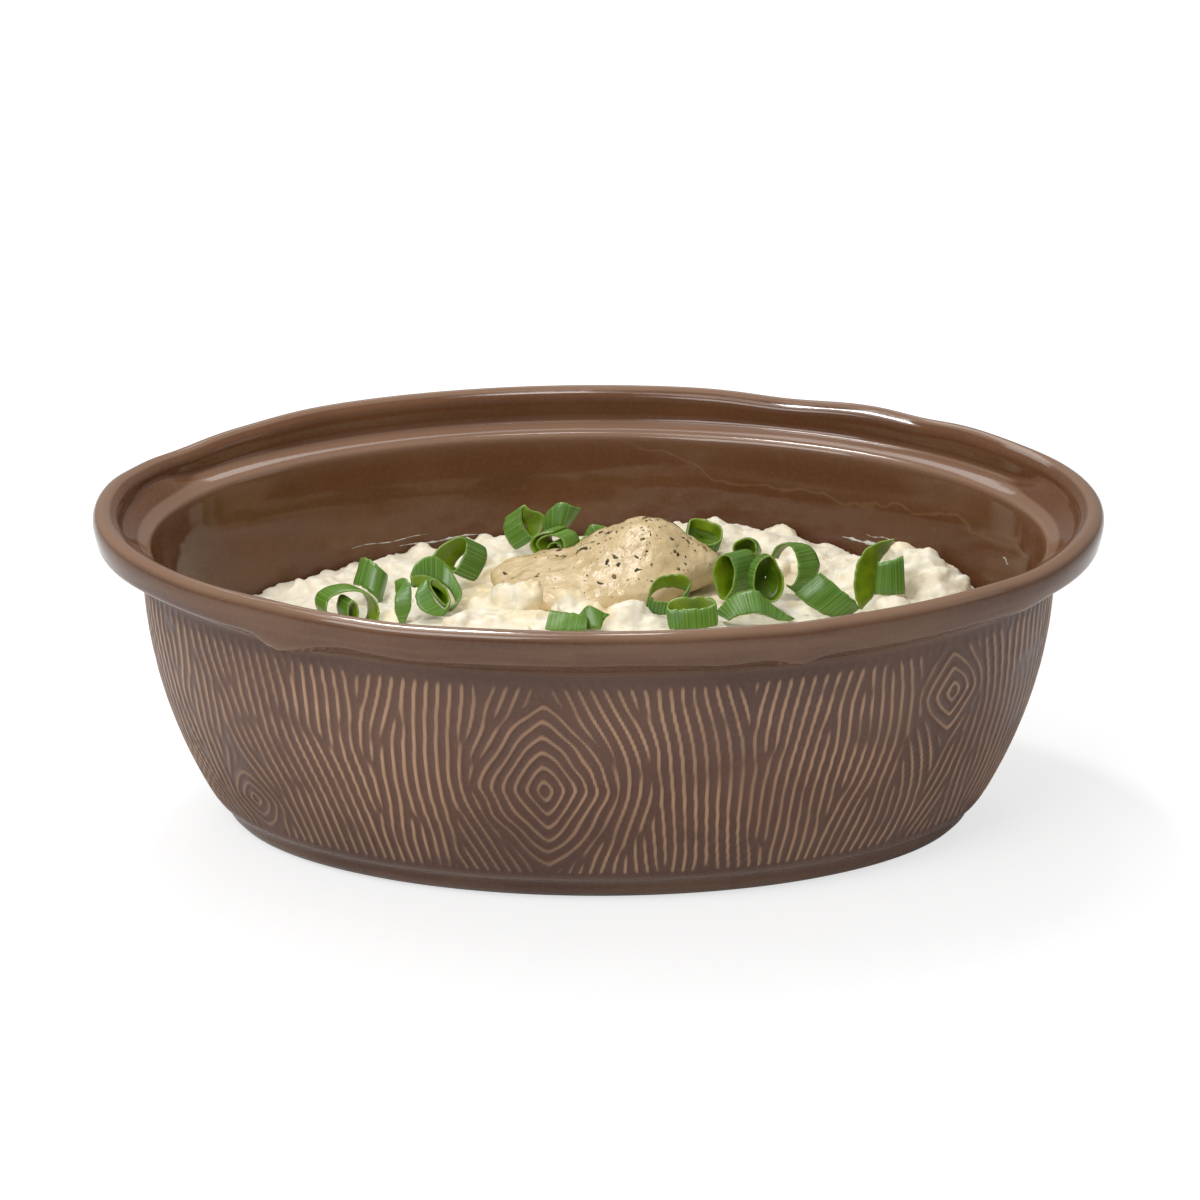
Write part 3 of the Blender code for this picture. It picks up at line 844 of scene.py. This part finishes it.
def make_flecks(sauce, material):
    """Chopped dried herbs on and in the sauce."""
    tree = world_tree(sauce)
    low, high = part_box("herb_sauce")
    points, faces, shade = [], [], []
    made = 0
    while made < FLECKS:
        x = RNG.uniform(low[0], high[0])
        y = RNG.uniform(low[1], high[1])
        spot, normal = hit_from_above(tree, x, y)
        if spot is None or normal.z < 0.1:
            continue
        if RNG.random() > 0.25 + 0.75 * float(smoothstep(low[2] + 3 * MM, high[2] - 2 * MM, spot.z)):
            continue
        size = (0.10 + 0.52 * RNG.random() ** 3.8) * MM
        long = size * RNG.uniform(1.0, 2.6)
        turn = Matrix.Rotation(RNG.uniform(0, math.tau), 3, "Z")
        tip = Matrix.Rotation(RNG.normal(0, 0.25), 3, "X")
        frame_to = normal.to_track_quat("Z", "Y").to_matrix() @ turn @ tip
        start = len(points)
        count = FLECK_SIDES
        for wide, up in ((1.0, -0.05), (0.8, 0.10)):
            for k in range(count):
                angle = math.tau * k / count
                rough = 1 + 0.3 * math.sin(3.1 * k + made)
                reach = wide * rough
                local = Vector((long * reach * math.cos(angle), size * reach * math.sin(angle), up * MM))
                points.append(spot + frame_to @ local)
                shade.append((made * 0.37) % 1.0)
        faces.append(tuple(start + k for k in reversed(range(count))))
        faces.append(tuple(start + count + k for k in range(count)))
        for k in range(count):
            j = (k + 1) % count
            faces.append((start + k, start + j, start + count + j, start + count + k))
        made += 1
    flecks = new_object("herb_flecks", points, faces, material)
    add_attribute(flecks, "shade", shade)
    return flecks


def fleck_material():
    m = Nodes("dried_herb")
    base = m.mix(m.ramp(m.attribute("shade"), 0.2, 0.8), (0.062, 0.045, 0.020), (0.150, 0.150, 0.040))
    base = m.mix(m.ramp(m.attribute("shade"), 0.80, 0.92), base, (0.23, 0.115, 0.028))
    m.colour(base)
    m.set(Roughness=0.7, Specular_IOR_Level=0.2)
    return m.material


# ---- scallions

LEAF_THICKNESS = 0.6 * MM
LEAF_TILT = math.radians(22.3)
LEAF_AXES = np.array(
    (
        (1.0, 0.0, 0.0),
        (0.0, math.sin(LEAF_TILT), math.cos(LEAF_TILT)),
        (0.0, math.cos(LEAF_TILT), -math.sin(LEAF_TILT)),
    )
)
COLUMN_STEP = 0.22
ACROSS_STEPS = 8
SINK = 0.4
# Strips between two edges, one or more a slice: (slice, form, has a closed heart, one edge, the other edge).
# Points are (across, up, back) in mm from the middle of the slice, in a frame that leans back by LEAF_TILT.
# Where back is 0 it is left out, and where the other edge is the first one moved, only the move is given.
LEAVES = (
    (1, "roll", False,
     ((0.8, -5.7), (0.2, -3.5), (0.5, -1.6), (1.3, -0.8), (2.3, -1.7), (2.6, -3.9), (1.8, -6.5),
      (-0.8, -7.1), (-3.7, -4.7), (-4.7, -2.4), (-4, -0.1), (-1.2, 1.3), (2.3, 1.6), (5.3, 0.5), (7, -2.2),
      (6.9, -5.3), (5.7, -8)),
     (-2.76, 1.5, 4.5)),
    (2, "strip", False,
     ((-1.8, 4, 2.5), (-0.8, 4, 1), (0.4, 3.5, 0), (1.7, 2.6, -0.8), (3, 1.5, -1), (3.9, 0.5, 0),
      (4.2, -0.3, 2)),
     (-1.67, -6.3, -1.5)),
    (3, "strip", False,
     ((-1.1, 4.1, 3), (1.3, 4.7, 2.2), (2.6, 3.1, 0.6), (2.9, 0.3, 0), (2.6, -2.4, 0), (1.3, -5.4, 0.5)),
     ((-0.8, 1.2, 3), (0.7, 3.1, 2), (-0.7, 1.1, 0.8), (-1.1, -0.6, 0), (-0.9, -3, 0), (0, -5.4, 0.5))),
    (4, "roll", False,
     ((-3.9, -1.9, 0), (-4.5, -4.2, -2), (-3.5, -6.8, -3), (-0.9, -8.2, -3.5), (1.6, -8.5, -3),
      (2.8, -7, -1), (2.2, -4.2, 1), (-0.5, -1.9, 1.5), (-3.7, -1.9, 0.8), (-5.2, -1.9, 0.5),
      (-4.1, -1.1, 2), (-1.3, -0.3, 3.5), (1.4, -1.1, 4), (3.6, -3.4, 3), (4.5, -6.2, 1), (2.8, -7.4, -1)),
     ((-1.7, -0.1, 0.5), (-1.4, -2.3, -1), (0, -5, -2), (1.8, -6.7, -2.5), (2.8, -6.1, -2),
      (3.2, -4.4, -0.5), (2, -1.7, 1), (0, 0, 1.5), (-2.9, 0.9, 2), (-5.6, 0.7, 1.5), (-4.5, 3.6, 3),
      (-1.3, 5.2, 4.5), (1.5, 3.9, 5), (3.8, 1.1, 4), (5.9, -3.1, 2), (4.7, -6.1, 0))),
    (4, "ring", True,
     ((-1.3, -0.7, 0.6), (0, -0.3, 1.2), (1.8, -2.1, 1), (2.8, -4.6, 0), (2.4, -6, -1.2), (0.6, -4.6, -1.2),
      (-1, -2.3, -0.3)),
     (-0.39, -0.3, 3)),
    (5, "ring", False,
     ((-6.9, -0.3), (-5.3, 1.8), (-2.9, 3.3), (-0.3, 4), (0.6, 2.8), (0.5, 0.9), (-0.3, -1.1), (-2.3, -3.9),
      (-4.5, -2.3), (-6.5, -1.1)),
     (4.69, -2.18, 3)),
    (6, "ring", False,
     ((1.4, 3.9), (3, 2.8), (5.2, 2.3), (6.1, 1.1), (5.6, -1.5), (4.4, -3), (3.3, -3.4), (1.4, -1),
      (0.8, 1.5)),
     (-4.2, -2.6, 2)),
    (7, "strip", False,
     ((-3.7, -0.4, 1), (-2.5, 1.3, 0), (0, 2.8, -1), (2.5, 2.1, -0.5), (4.8, 1.5, 1.5)),
     ((-3.7, -4, 1), (-2.3, -3.8, 0), (-0.7, -3.5, -1), (0.5, -3.4, -0.5), (1.6, -3, 1.5))),
    (8, "roll", False,
     ((-2.3, -4.3, 1), (-1.6, -3.4, 1), (-0.2, -3.1, 1), (0.7, -4, 1), (0.1, -5.1, 1), (-1.6, -5.7, 1),
      (-3.6, -5, 0.5), (-4.7, -3.4, 0.3), (-3.6, -1.9, 0), (-1.4, -1.3, 0), (0.7, -2, 0), (1.6, -3.6, 0),
      (1.4, -5.2, 0), (0.2, -6.2, 0), (-1.8, -6.5, 0), (-4.2, -5.9, 0), (-5.7, -4.8, 0), (-6.1, -3.5, 0),
      (-5.3, -1.9, 0), (-3.4, -0.9, 0), (-1, -0.7, 0)),
     (3.39, 1.5, 4)),
    (9, "strip", False,
     ((-4.6, -4, 1), (-2.8, -1.5, 0), (-0.2, -1.6, 0), (1.8, -2.3, 0), (3.9, -3, 1)),
     ((-2.2, -6.2, 0), (-1.3, -6.2, 0), (0.4, -5.4, 0), (2.2, -4.8, 0), (3.9, -3.3, 1))),
    (9, "lining", False,
     ((-9.1, -8.5, 0), (-7, -6.6, -0.3), (-5.4, -4.8, 0), (-3.4, -3.8, 0.5), (-1.5, -3.5, 1)),
     ((-8.9, -8.9, 0), (-6.2, -8.6, -0.6), (-4.2, -7.4, -0.5), (-2.6, -5.9, 0), (-1.3, -3.8, 1))),
    (10, "ring", True,
     ((-3.8, -2.5, 0), (-3.5, 0, 1.5), (-2.9, 1.2, 2.5), (-1.1, 1.4, 3), (1.7, 0.7, 2.5), (3.7, -0.5, 1.5),
      (4.1, -2, 0.5), (3.7, -3.6, 0), (2.1, -4.5, -1), (-0.3, -4.5, -1.2), (-2.5, -3.6, -1)),
     (-0.8, -2.49, 1)),
    (11, "ring", True,
     ((-2.5, -2.5), (-1.9, -0.8), (0.2, 0.2), (1.9, -0.4), (2.8, -2), (2.6, -3.3), (1, -4.3), (-1, -4.1)),
     (1.02, -0.39, 3)),
    (12, "ring", True,
     ((-4.7, -0.9), (-4.4, 1.5), (-3.4, 3.2), (-2, 3.9), (-0.6, 3), (0.1, 0.7), (-0.1, -2.1), (-0.8, -4.4),
      (-2.2, -6.2), (-3.6, -4.8)),
     (5.31, 1.43, 5)),
    (13, "ring", True,
     ((-1.1, 6.2), (-3.1, 4.8), (-4.2, 1.7), (-4, -1.5), (-1.9, -3.3), (0.4, -4), (2.1, -1.9), (2.3, 1.3),
      (1.2, 4), (0.2, 5.7)),
     (-1.17, 0.45, 5)),
    (14, "roll", False,
     ((-6.8, 1.9), (-5.8, 3.9), (-4.4, 5), (-2.8, 4.9), (-1.3, 3.4), (-0.5, 0.8), (-0.5, -1.6),
      (-1.1, -3.8), (-2.2, -4.7), (-3.2, -4.3)),
     ((-4.8, 1.7, 4), (-3.8, 3.5, 4), (-2.6, 4.6, 4), (-0.2, 5.3, 4), (2.5, 4.3, 4), (4.4, 1.5, 4),
      (4.4, -1.2, 3.5), (2.9, -3.6, 3), (0.6, -5.6, 2.5), (-1.1, -6.1, 2))),
    (15, "strip", False,
     ((-1.1, 4.8, 0), (2.2, 2.1, -0.5), (5, -0.3, 0), (6.7, -1.6, 1), (8, -3.3, 3)),
     ((-7, -0.2, 0), (-3.6, -2.9, -0.5), (-0.5, -4.6, 0), (2.2, -5.5, 1), (4.4, -5.5, 3))),
    (16, "lining", False,
     ((5.2, 7.3), (1.9, 6.7), (-1.2, 5.1), (-3.2, 2), (-4, -1.5), (-3.9, -5.1), (-2.7, -8.5)),
     ((5, 6.7, 3), (3.7, 4.8, 3), (2.3, 3, 3), (1.3, 0.8, 3), (1.1, -2.3, 3), (0.7, -5.1, 3),
      (-2.4, -8.6, 2))),
    (17, "strip", False,
     ((-7.8, 3.8, 0), (-6.1, 4, -0.5), (-4.2, 4.4, -0.5), (-2.1, 5.2, 0.5)),
     ((-8.4, -3.5, 1), (-6.5, -3.7, 0.5), (-3.8, -3.7, 0.5), (-1.7, -3.4, 1))),
    (18, "ring", False,
     ((-3.6, -1.5), (-3.4, 0.6), (-2.4, 2.5), (-0.3, 3.6), (3.2, 3.7), (5.3, 2.5), (4.8, 0.6), (3.2, -1.4),
      (0.9, -2.3), (-1.8, -2.2)),
     (-0.6, -2.92, 1)),
    (19, "ring", True,
     ((-5.6, 0.7, 0), (-5.2, 2.2, 0.6), (-3.9, 2.9, 1), (-0.4, 3.2, 1), (3.1, 3.3, 1), (4.6, 2.7, 0.6),
      (4.9, 1.5, 0), (1.9, 0.7, -0.6), (-1.6, 0.5, -0.8), (-4.3, 0.4, -0.6)),
     (0.39, -4.54, 0)),
    (20, "strip", False,
     ((-8.4, -1.7, 0), (-6.4, 0.8, 0), (-4.1, 2.5, 0), (-1.4, 3.5, 0), (1, 3.4, 0), (3.3, 1.2, 0.5),
      (6.4, -1.1, 1), (9.5, -2.9, 2)),
     ((-5.4, -3.2, -3), (-4.1, -2.5, -3), (-2.1, -1.9, -3), (-0.2, -1.7, -3), (1.7, -1.7, -3),
      (3.3, -2.3, -2), (5.6, -3.2, -1), (7.9, -3.3, 0))),
    (21, "strip", False,
     ((-1.9, 1, 0), (0.2, 0.6, -0.3), (2.9, 0.3, -0.3), (5.4, -0.1, 0), (6.4, -0.6, 0.5)),
     ((-3, -3.3, -3), (-0.6, -3.6, -3.3), (2.1, -3.6, -3.3), (4.8, -3.6, -3), (6.3, -3.1, -2.5))),
    (22, "strip", False,
     ((-5.7, -0.4, 0.5), (-4.1, 1.3, 0), (-2.3, 0.7, -0.3), (0.8, -0.8, 0)),
     ((-4.1, -4, -1), (-2.6, -3.9, -1.5), (-1.1, -3.8, -1.5), (-0.9, -1.9, -1))),
)


def smooth_curve(points, closed):
    """Catmull-Rom curve through the points, as a function of a parameter from 0 to 1."""
    points = np.array(points, float)
    if closed:
        padded = np.concatenate([points[-1:], points, points[:2]])
        spans = len(points)
    else:
        start = 2 * points[0] - points[1]
        end = 2 * points[-1] - points[-2]
        padded = np.concatenate([[start], points, [end]])
        spans = len(points) - 1

    def at(share):
        place = np.clip(share, 0.0, 1.0) * spans
        index = np.minimum(place.astype(int), spans - 1)
        t = (place - index)[:, None]
        p0, p1, p2, p3 = (padded[index + k] for k in range(4))
        square = 2 * p0 - 5 * p1 + 4 * p2 - p3
        cube = 3 * p1 - p0 - 3 * p2 + p3
        return 0.5 * (2 * p1 + (p2 - p0) * t + square * t**2 + cube * t**3)

    return at


def blurred(values, closed, rounds):
    for _ in range(rounds):
        if closed:
            values = (np.roll(values, 1, 1) + 2 * values + np.roll(values, -1, 1)) / 4
        else:
            padded = np.concatenate([values[:, :1], values, values[:, -1:]], 1)
            values = (padded[:, :-2] + 2 * values + padded[:, 2:]) / 4
    return values


def leaf_grid(form, near, far, seed):
    """Rows of points from one edge to the other, their outward normals and distances along the strip."""
    closed = form == "ring"
    first, second = smooth_curve(near, closed), smooth_curve(far, closed)
    check = np.linspace(0.0, 1.0, 400)
    middle = (first(check) + second(check)) / 2
    lengths = np.concatenate([[0.0], np.cumsum(np.linalg.norm(np.diff(middle, axis=0), axis=1))])
    columns = max(12, int(lengths[-1] / COLUMN_STEP))
    spots = np.linspace(0.0, lengths[-1], columns + 1)[: columns if closed else columns + 1]
    share = np.interp(spots, lengths, check)
    a, b = first(share), second(share)
    jag = 0.16 * noise3(np.stack([spots, spots * 0, spots * 0 + seed], -1), 0.9, 5)[:, None]
    across = b - a
    width = np.linalg.norm(across, axis=1, keepdims=True) + 1e-6
    a = a + across / width * jag
    b = b - across / width * jag * 0.8
    rows = np.linspace(0.0, 1.0, ACROSS_STEPS + 1)[:, None, None]
    grid = a * (1 - rows) + b * rows
    along = np.roll(grid, -1, 1) - np.roll(grid, 1, 1) if closed else np.gradient(grid, axis=1)
    normal = np.cross(along, np.broadcast_to(b - a, grid.shape))
    normal /= np.linalg.norm(normal, axis=-1, keepdims=True) + 1e-9
    if form in ("ring", "roll"):
        flat = first(check)[:, :2]
        area = np.sum(flat[:-1, 0] * flat[1:, 1] - flat[1:, 0] * flat[:-1, 1])
        outward = np.stack([along[..., 1], -along[..., 0], 0 * along[..., 0]], -1) * np.sign(area)
    else:
        outward = np.zeros_like(normal)
        outward[..., 2] = -1.0 if form == "strip" else 1.0
    if np.sum(normal * outward) < 0:
        normal = -normal
    normal = blurred(normal, closed, 6)
    normal /= np.linalg.norm(normal, axis=-1, keepdims=True) + 1e-9
    return grid, normal, spots, closed


def leaf_shell(grid, normal, spots, closed, seed):
    """Points, faces, which side and how near a cut edge each point is, of a leaf with its thickness."""
    rows, columns = grid.shape[:2]
    edge = np.abs(np.linspace(-1.0, 1.0, rows))[:, None, None]
    veins = 0.030 * np.sin(spots * 8.5 + seed) + 0.020 * np.sin(spots * 14.0 + 2.0 * seed)
    veins = veins * (0.5 + 0.5 * np.sin(spots * 0.9 + seed))
    ripple = 0.14 * noise3(grid + seed * 3.3, 2.6, 8)[..., None]
    half = LEAF_THICKNESS / MM / 2 * (1 - 0.5 * edge**6)
    outer = grid + normal * (half + ripple + veins[None, :, None])
    inner = grid - normal * (half - ripple - 0.3 * veins[None, :, None])
    points = np.concatenate([outer.reshape(-1, 3), inner.reshape(-1, 3)])
    size = rows * columns
    steps = columns if closed else columns - 1
    faces = []
    for row in range(rows - 1):
        for i in range(steps):
            j = (i + 1) % columns
            a, b = row * columns + i, row * columns + j
            faces.append((a, b, b + columns, a + columns))
            faces.append((size + a + columns, size + b + columns, size + b, size + a))
    for row in (0, rows - 1):
        for i in range(steps):
            a, b = row * columns + i, row * columns + (i + 1) % columns
            faces.append((a, size + a, size + b, b) if row == 0 else (b, size + b, size + a, a))
    if not closed:
        for i in (0, columns - 1):
            for row in range(rows - 1):
                a, b = row * columns + i, (row + 1) * columns + i
                faces.append((a, b, size + b, size + a) if i == 0 else (b, a, size + a, size + b))
    side = np.concatenate([np.ones(size), np.zeros(size)])
    cut = np.broadcast_to(edge[..., 0], (rows, columns)).reshape(-1)
    around = np.tile(spots, rows)
    return points, faces, side, np.tile(cut, 2), np.tile(around, 2)


def full_edges(near, far):
    """Both edges of a strip as arrays of (across, up, back)."""
    near = np.array(near, float)
    near = np.pad(near, ((0, 0), (0, 3 - near.shape[1])))
    far = np.array(far, float)
    if far.ndim == 1:
        return near, near + far
    return near, np.pad(far, ((0, 0), (0, 3 - far.shape[1])))


def heart_edges(near, far):
    """Edges of the inner leaves that close the middle of a slice."""
    middle, end = near.mean(0), far.mean(0)
    mouth = middle + (near - middle) * 0.95 + (end - middle) * 0.45 + np.array((0.0, 0.0, 0.8))
    tip = middle + (near - middle) * 0.04 + (end - middle) * 0.60 + np.array((0.0, 0.0, 3.0))
    return mouth, tip


def make_scallion(number, strips, material):
    node = f"scallion_{number:02d}"
    strips = [(form, heart, *full_edges(near, far)) for form, heart, near, far in strips]
    every = np.concatenate([edge for _, _, near, far in strips for edge in (near, far)])
    lean = np.array((0.0, 0.0, every[:, 2].mean() - SINK))
    low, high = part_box(node)
    centre = (np.array(low) + np.array(high)) / 2
    shells = []
    for order, (form, heart, near, far) in enumerate(strips):
        seed = number + 0.37 * order
        shells.append((*leaf_shell(*leaf_grid(form, near, far, seed), seed), 0.0))
        if heart:
            mouth, tip = heart_edges(near, far)
            grid = leaf_grid(form, mouth, tip, seed + 0.2)
            shells.append((*leaf_shell(*grid, seed + 0.2), 1.0))
    points = np.concatenate([shell[0] for shell in shells])
    faces = []
    start = 0
    for shell in shells:
        faces.extend(tuple(start + k for k in face) for face in shell[1])
        start += len(shell[0])
    placed = ((points - lean) @ LEAF_AXES) * MM + centre
    leaf = new_object(f"{node}_leaf", placed, faces, material)
    fix_normals(leaf)
    add_attribute(leaf, "outside", np.concatenate([shell[2] * (1 - shell[5]) for shell in shells]))
    add_attribute(leaf, "cut", np.concatenate([shell[3] * (1 - shell[5]) for shell in shells]))
    add_attribute(leaf, "heart", np.concatenate([np.full(len(shell[0]), shell[5]) for shell in shells]))
    add_attribute(leaf, "around", np.concatenate([shell[4] for shell in shells]) + number * 10)
    add_attribute(leaf, "tone", np.full(len(points), (number * 0.618) % 1.0))
    return stand_for(leaf, node)


def fix_normals(obj):
    fix = bmesh.new()
    fix.from_mesh(obj.data)
    bmesh.ops.recalc_face_normals(fix, faces=fix.faces)
    fix.to_mesh(obj.data)
    fix.free()
    obj.data.shade_smooth()


def scallion_material():
    m = Nodes("scallion")
    outside = m.attribute("outside")
    around = m.attribute("around")
    tone = m.attribute("tone")
    vein = m.tree.nodes.new("ShaderNodeTexNoise")
    vein.noise_dimensions = "1D"
    vein.inputs["Scale"].default_value = 2.4
    vein.inputs["Detail"].default_value = 3.0
    m.link(around, vein.inputs["W"])
    stripes = m.ramp(vein.outputs["Fac"], 0.42, 0.62)
    outer_dark = m.mix(tone, (0.058, 0.160, 0.012), (0.100, 0.215, 0.012))
    outer = m.mix(m.times(stripes, 0.6), outer_dark, (0.205, 0.345, 0.075))
    waxy = m.ramp(m.noise(120.0, 2.0, 0.5), 0.48, 0.70)
    outer = m.mix(m.times(waxy, 0.45), outer, (0.115, 0.250, 0.085))
    cloud = m.ramp(m.noise(260.0, 2.0, 0.5), 0.35, 0.7)
    inner = m.mix(cloud, (0.110, 0.190, 0.003), (0.195, 0.285, 0.006))
    base = m.mix(outside, inner, outer)
    base = m.mix(m.ramp(m.attribute("cut"), 0.88, 1.0, 0.0, 0.5), base, (0.26, 0.38, 0.06))
    base = m.mix(m.times(m.attribute("heart"), 0.6), base, (0.045, 0.105, 0.004))
    m.colour(base)
    m.set(Roughness=0.30, Subsurface_Weight=0.12, Subsurface_Scale=0.0008, Specular_IOR_Level=0.5)
    m.set(Subsurface_Radius=(0.5, 1.0, 0.2))
    m.bump(m.noise(900.0, 2.0, 0.5), 0.12, 0.0002)
    return m.material


# ---- stage, light and camera

CAMERA_DISTANCE = 1.125
CAMERA_TILT = math.radians(22.3)
CAMERA_LENS = 150.4
CAMERA_SENSOR = 36.0
CAMERA_AIM = (0.34 * MM, 0.0, 51.39 * MM)


def make_camera():
    camera = bpy.data.objects.new("camera", bpy.data.cameras.new("camera"))
    bpy.context.scene.collection.objects.link(camera)
    camera.data.lens = CAMERA_LENS
    camera.data.sensor_width = CAMERA_SENSOR
    forward = Vector((0.0, math.cos(CAMERA_TILT), -math.sin(CAMERA_TILT)))
    camera.location = Vector(CAMERA_AIM) - forward * CAMERA_DISTANCE
    camera.rotation_euler = forward.to_track_quat("-Z", "Y").to_euler()
    bpy.context.scene.camera = camera


def make_lamp(name, place, aim, size, power):
    lamp = bpy.data.lights.new(name, "AREA")
    lamp.shape = "RECTANGLE"
    lamp.size, lamp.size_y = size
    lamp.energy = power
    obj = bpy.data.objects.new(name, lamp)
    bpy.context.scene.collection.objects.link(obj)
    obj.location = place
    obj.rotation_euler = (Vector(aim) - Vector(place)).to_track_quat("-Z", "Y").to_euler()


def make_lights():
    """A large softbox at front left and two narrow ones behind and above, whose images show in the glaze."""
    aim = Vector((0.0, 0.0, 0.06))
    for name, way, away, size, power in (
        ("key", (-0.39, -0.62, 0.68), 1.3, (0.70, 0.60), 8.5),
        ("window", (-0.19, 0.29, 0.936), 1.2, (0.14, 0.20), 4.6),
        ("window_small", (0.04, 0.26, 0.965), 1.2, (0.09, 0.16), 0.6),
        ("behind", (-0.10, 0.70, 0.70), 1.3, (0.60, 0.30), 1.5),
        ("top", (-0.25, 0.05, 0.97), 1.3, (0.60, 0.50), 3.2),
        ("side", (0.90, -0.25, 0.36), 1.3, (0.40, 0.60), 0.5),
    ):
        make_lamp(name, aim + Vector(way).normalized() * away, aim, size, power)


WORLD_STRENGTH = 0.33


def make_world():
    world = bpy.data.worlds.new("studio")
    bpy.context.scene.world = world
    world.use_nodes = True
    tree = world.node_tree
    back = tree.nodes["Background"]
    back.inputs["Color"].default_value = (1.0, 1.0, 1.0, 1.0)
    path = tree.nodes.new("ShaderNodeLightPath")
    scale = tree.nodes.new("ShaderNodeMapRange")
    scale.inputs["To Min"].default_value = WORLD_STRENGTH
    scale.inputs["To Max"].default_value = 1.0
    tree.links.new(path.outputs["Is Camera Ray"], scale.inputs["Value"])
    tree.links.new(scale.outputs["Result"], back.inputs["Strength"])


def floor_material():
    m = Nodes("studio_floor")
    m.set(Roughness=0.9, Specular_IOR_Level=0.1, Emission_Color=(1.0, 1.0, 1.0, 1.0))
    seen = m.add("ShaderNodeLightPath").outputs["Is Camera Ray"]
    m.colour(m.mix(seen, (0.93, 0.93, 0.93), (0.40, 0.40, 0.40)))
    m.link(m.times(seen, 0.70), m.shader.inputs["Emission Strength"])
    return m.material


FLOOR_HALF = 6.0


def make_floor():
    half = FLOOR_HALF
    corners = [(-half, -half, 0), (half, -half, 0), (half, half, 0), (-half, half, 0)]
    mesh = bpy.data.meshes.new("floor")
    mesh.from_pydata(corners, [], [(0, 1, 2, 3)])
    mesh.materials.append(floor_material())
    floor = bpy.data.objects.new("floor", mesh)
    bpy.context.scene.collection.objects.link(floor)


def main():
    scene = bpy.context.scene
    scene.view_settings.view_transform = "Standard"
    make_camera()
    make_lights()
    make_world()
    make_floor()
    make_dish(glaze_material())
    potato = potato_material()
    make_mash(potato)
    sauce = make_sauce(sauce_material())
    make_flecks(sauce, fleck_material())
    make_smears(potato)
    leaf = scallion_material()
    for number in sorted({strip[0] for strip in LEAVES}):
        make_scallion(number, [strip[1:] for strip in LEAVES if strip[0] == number], leaf)


main()
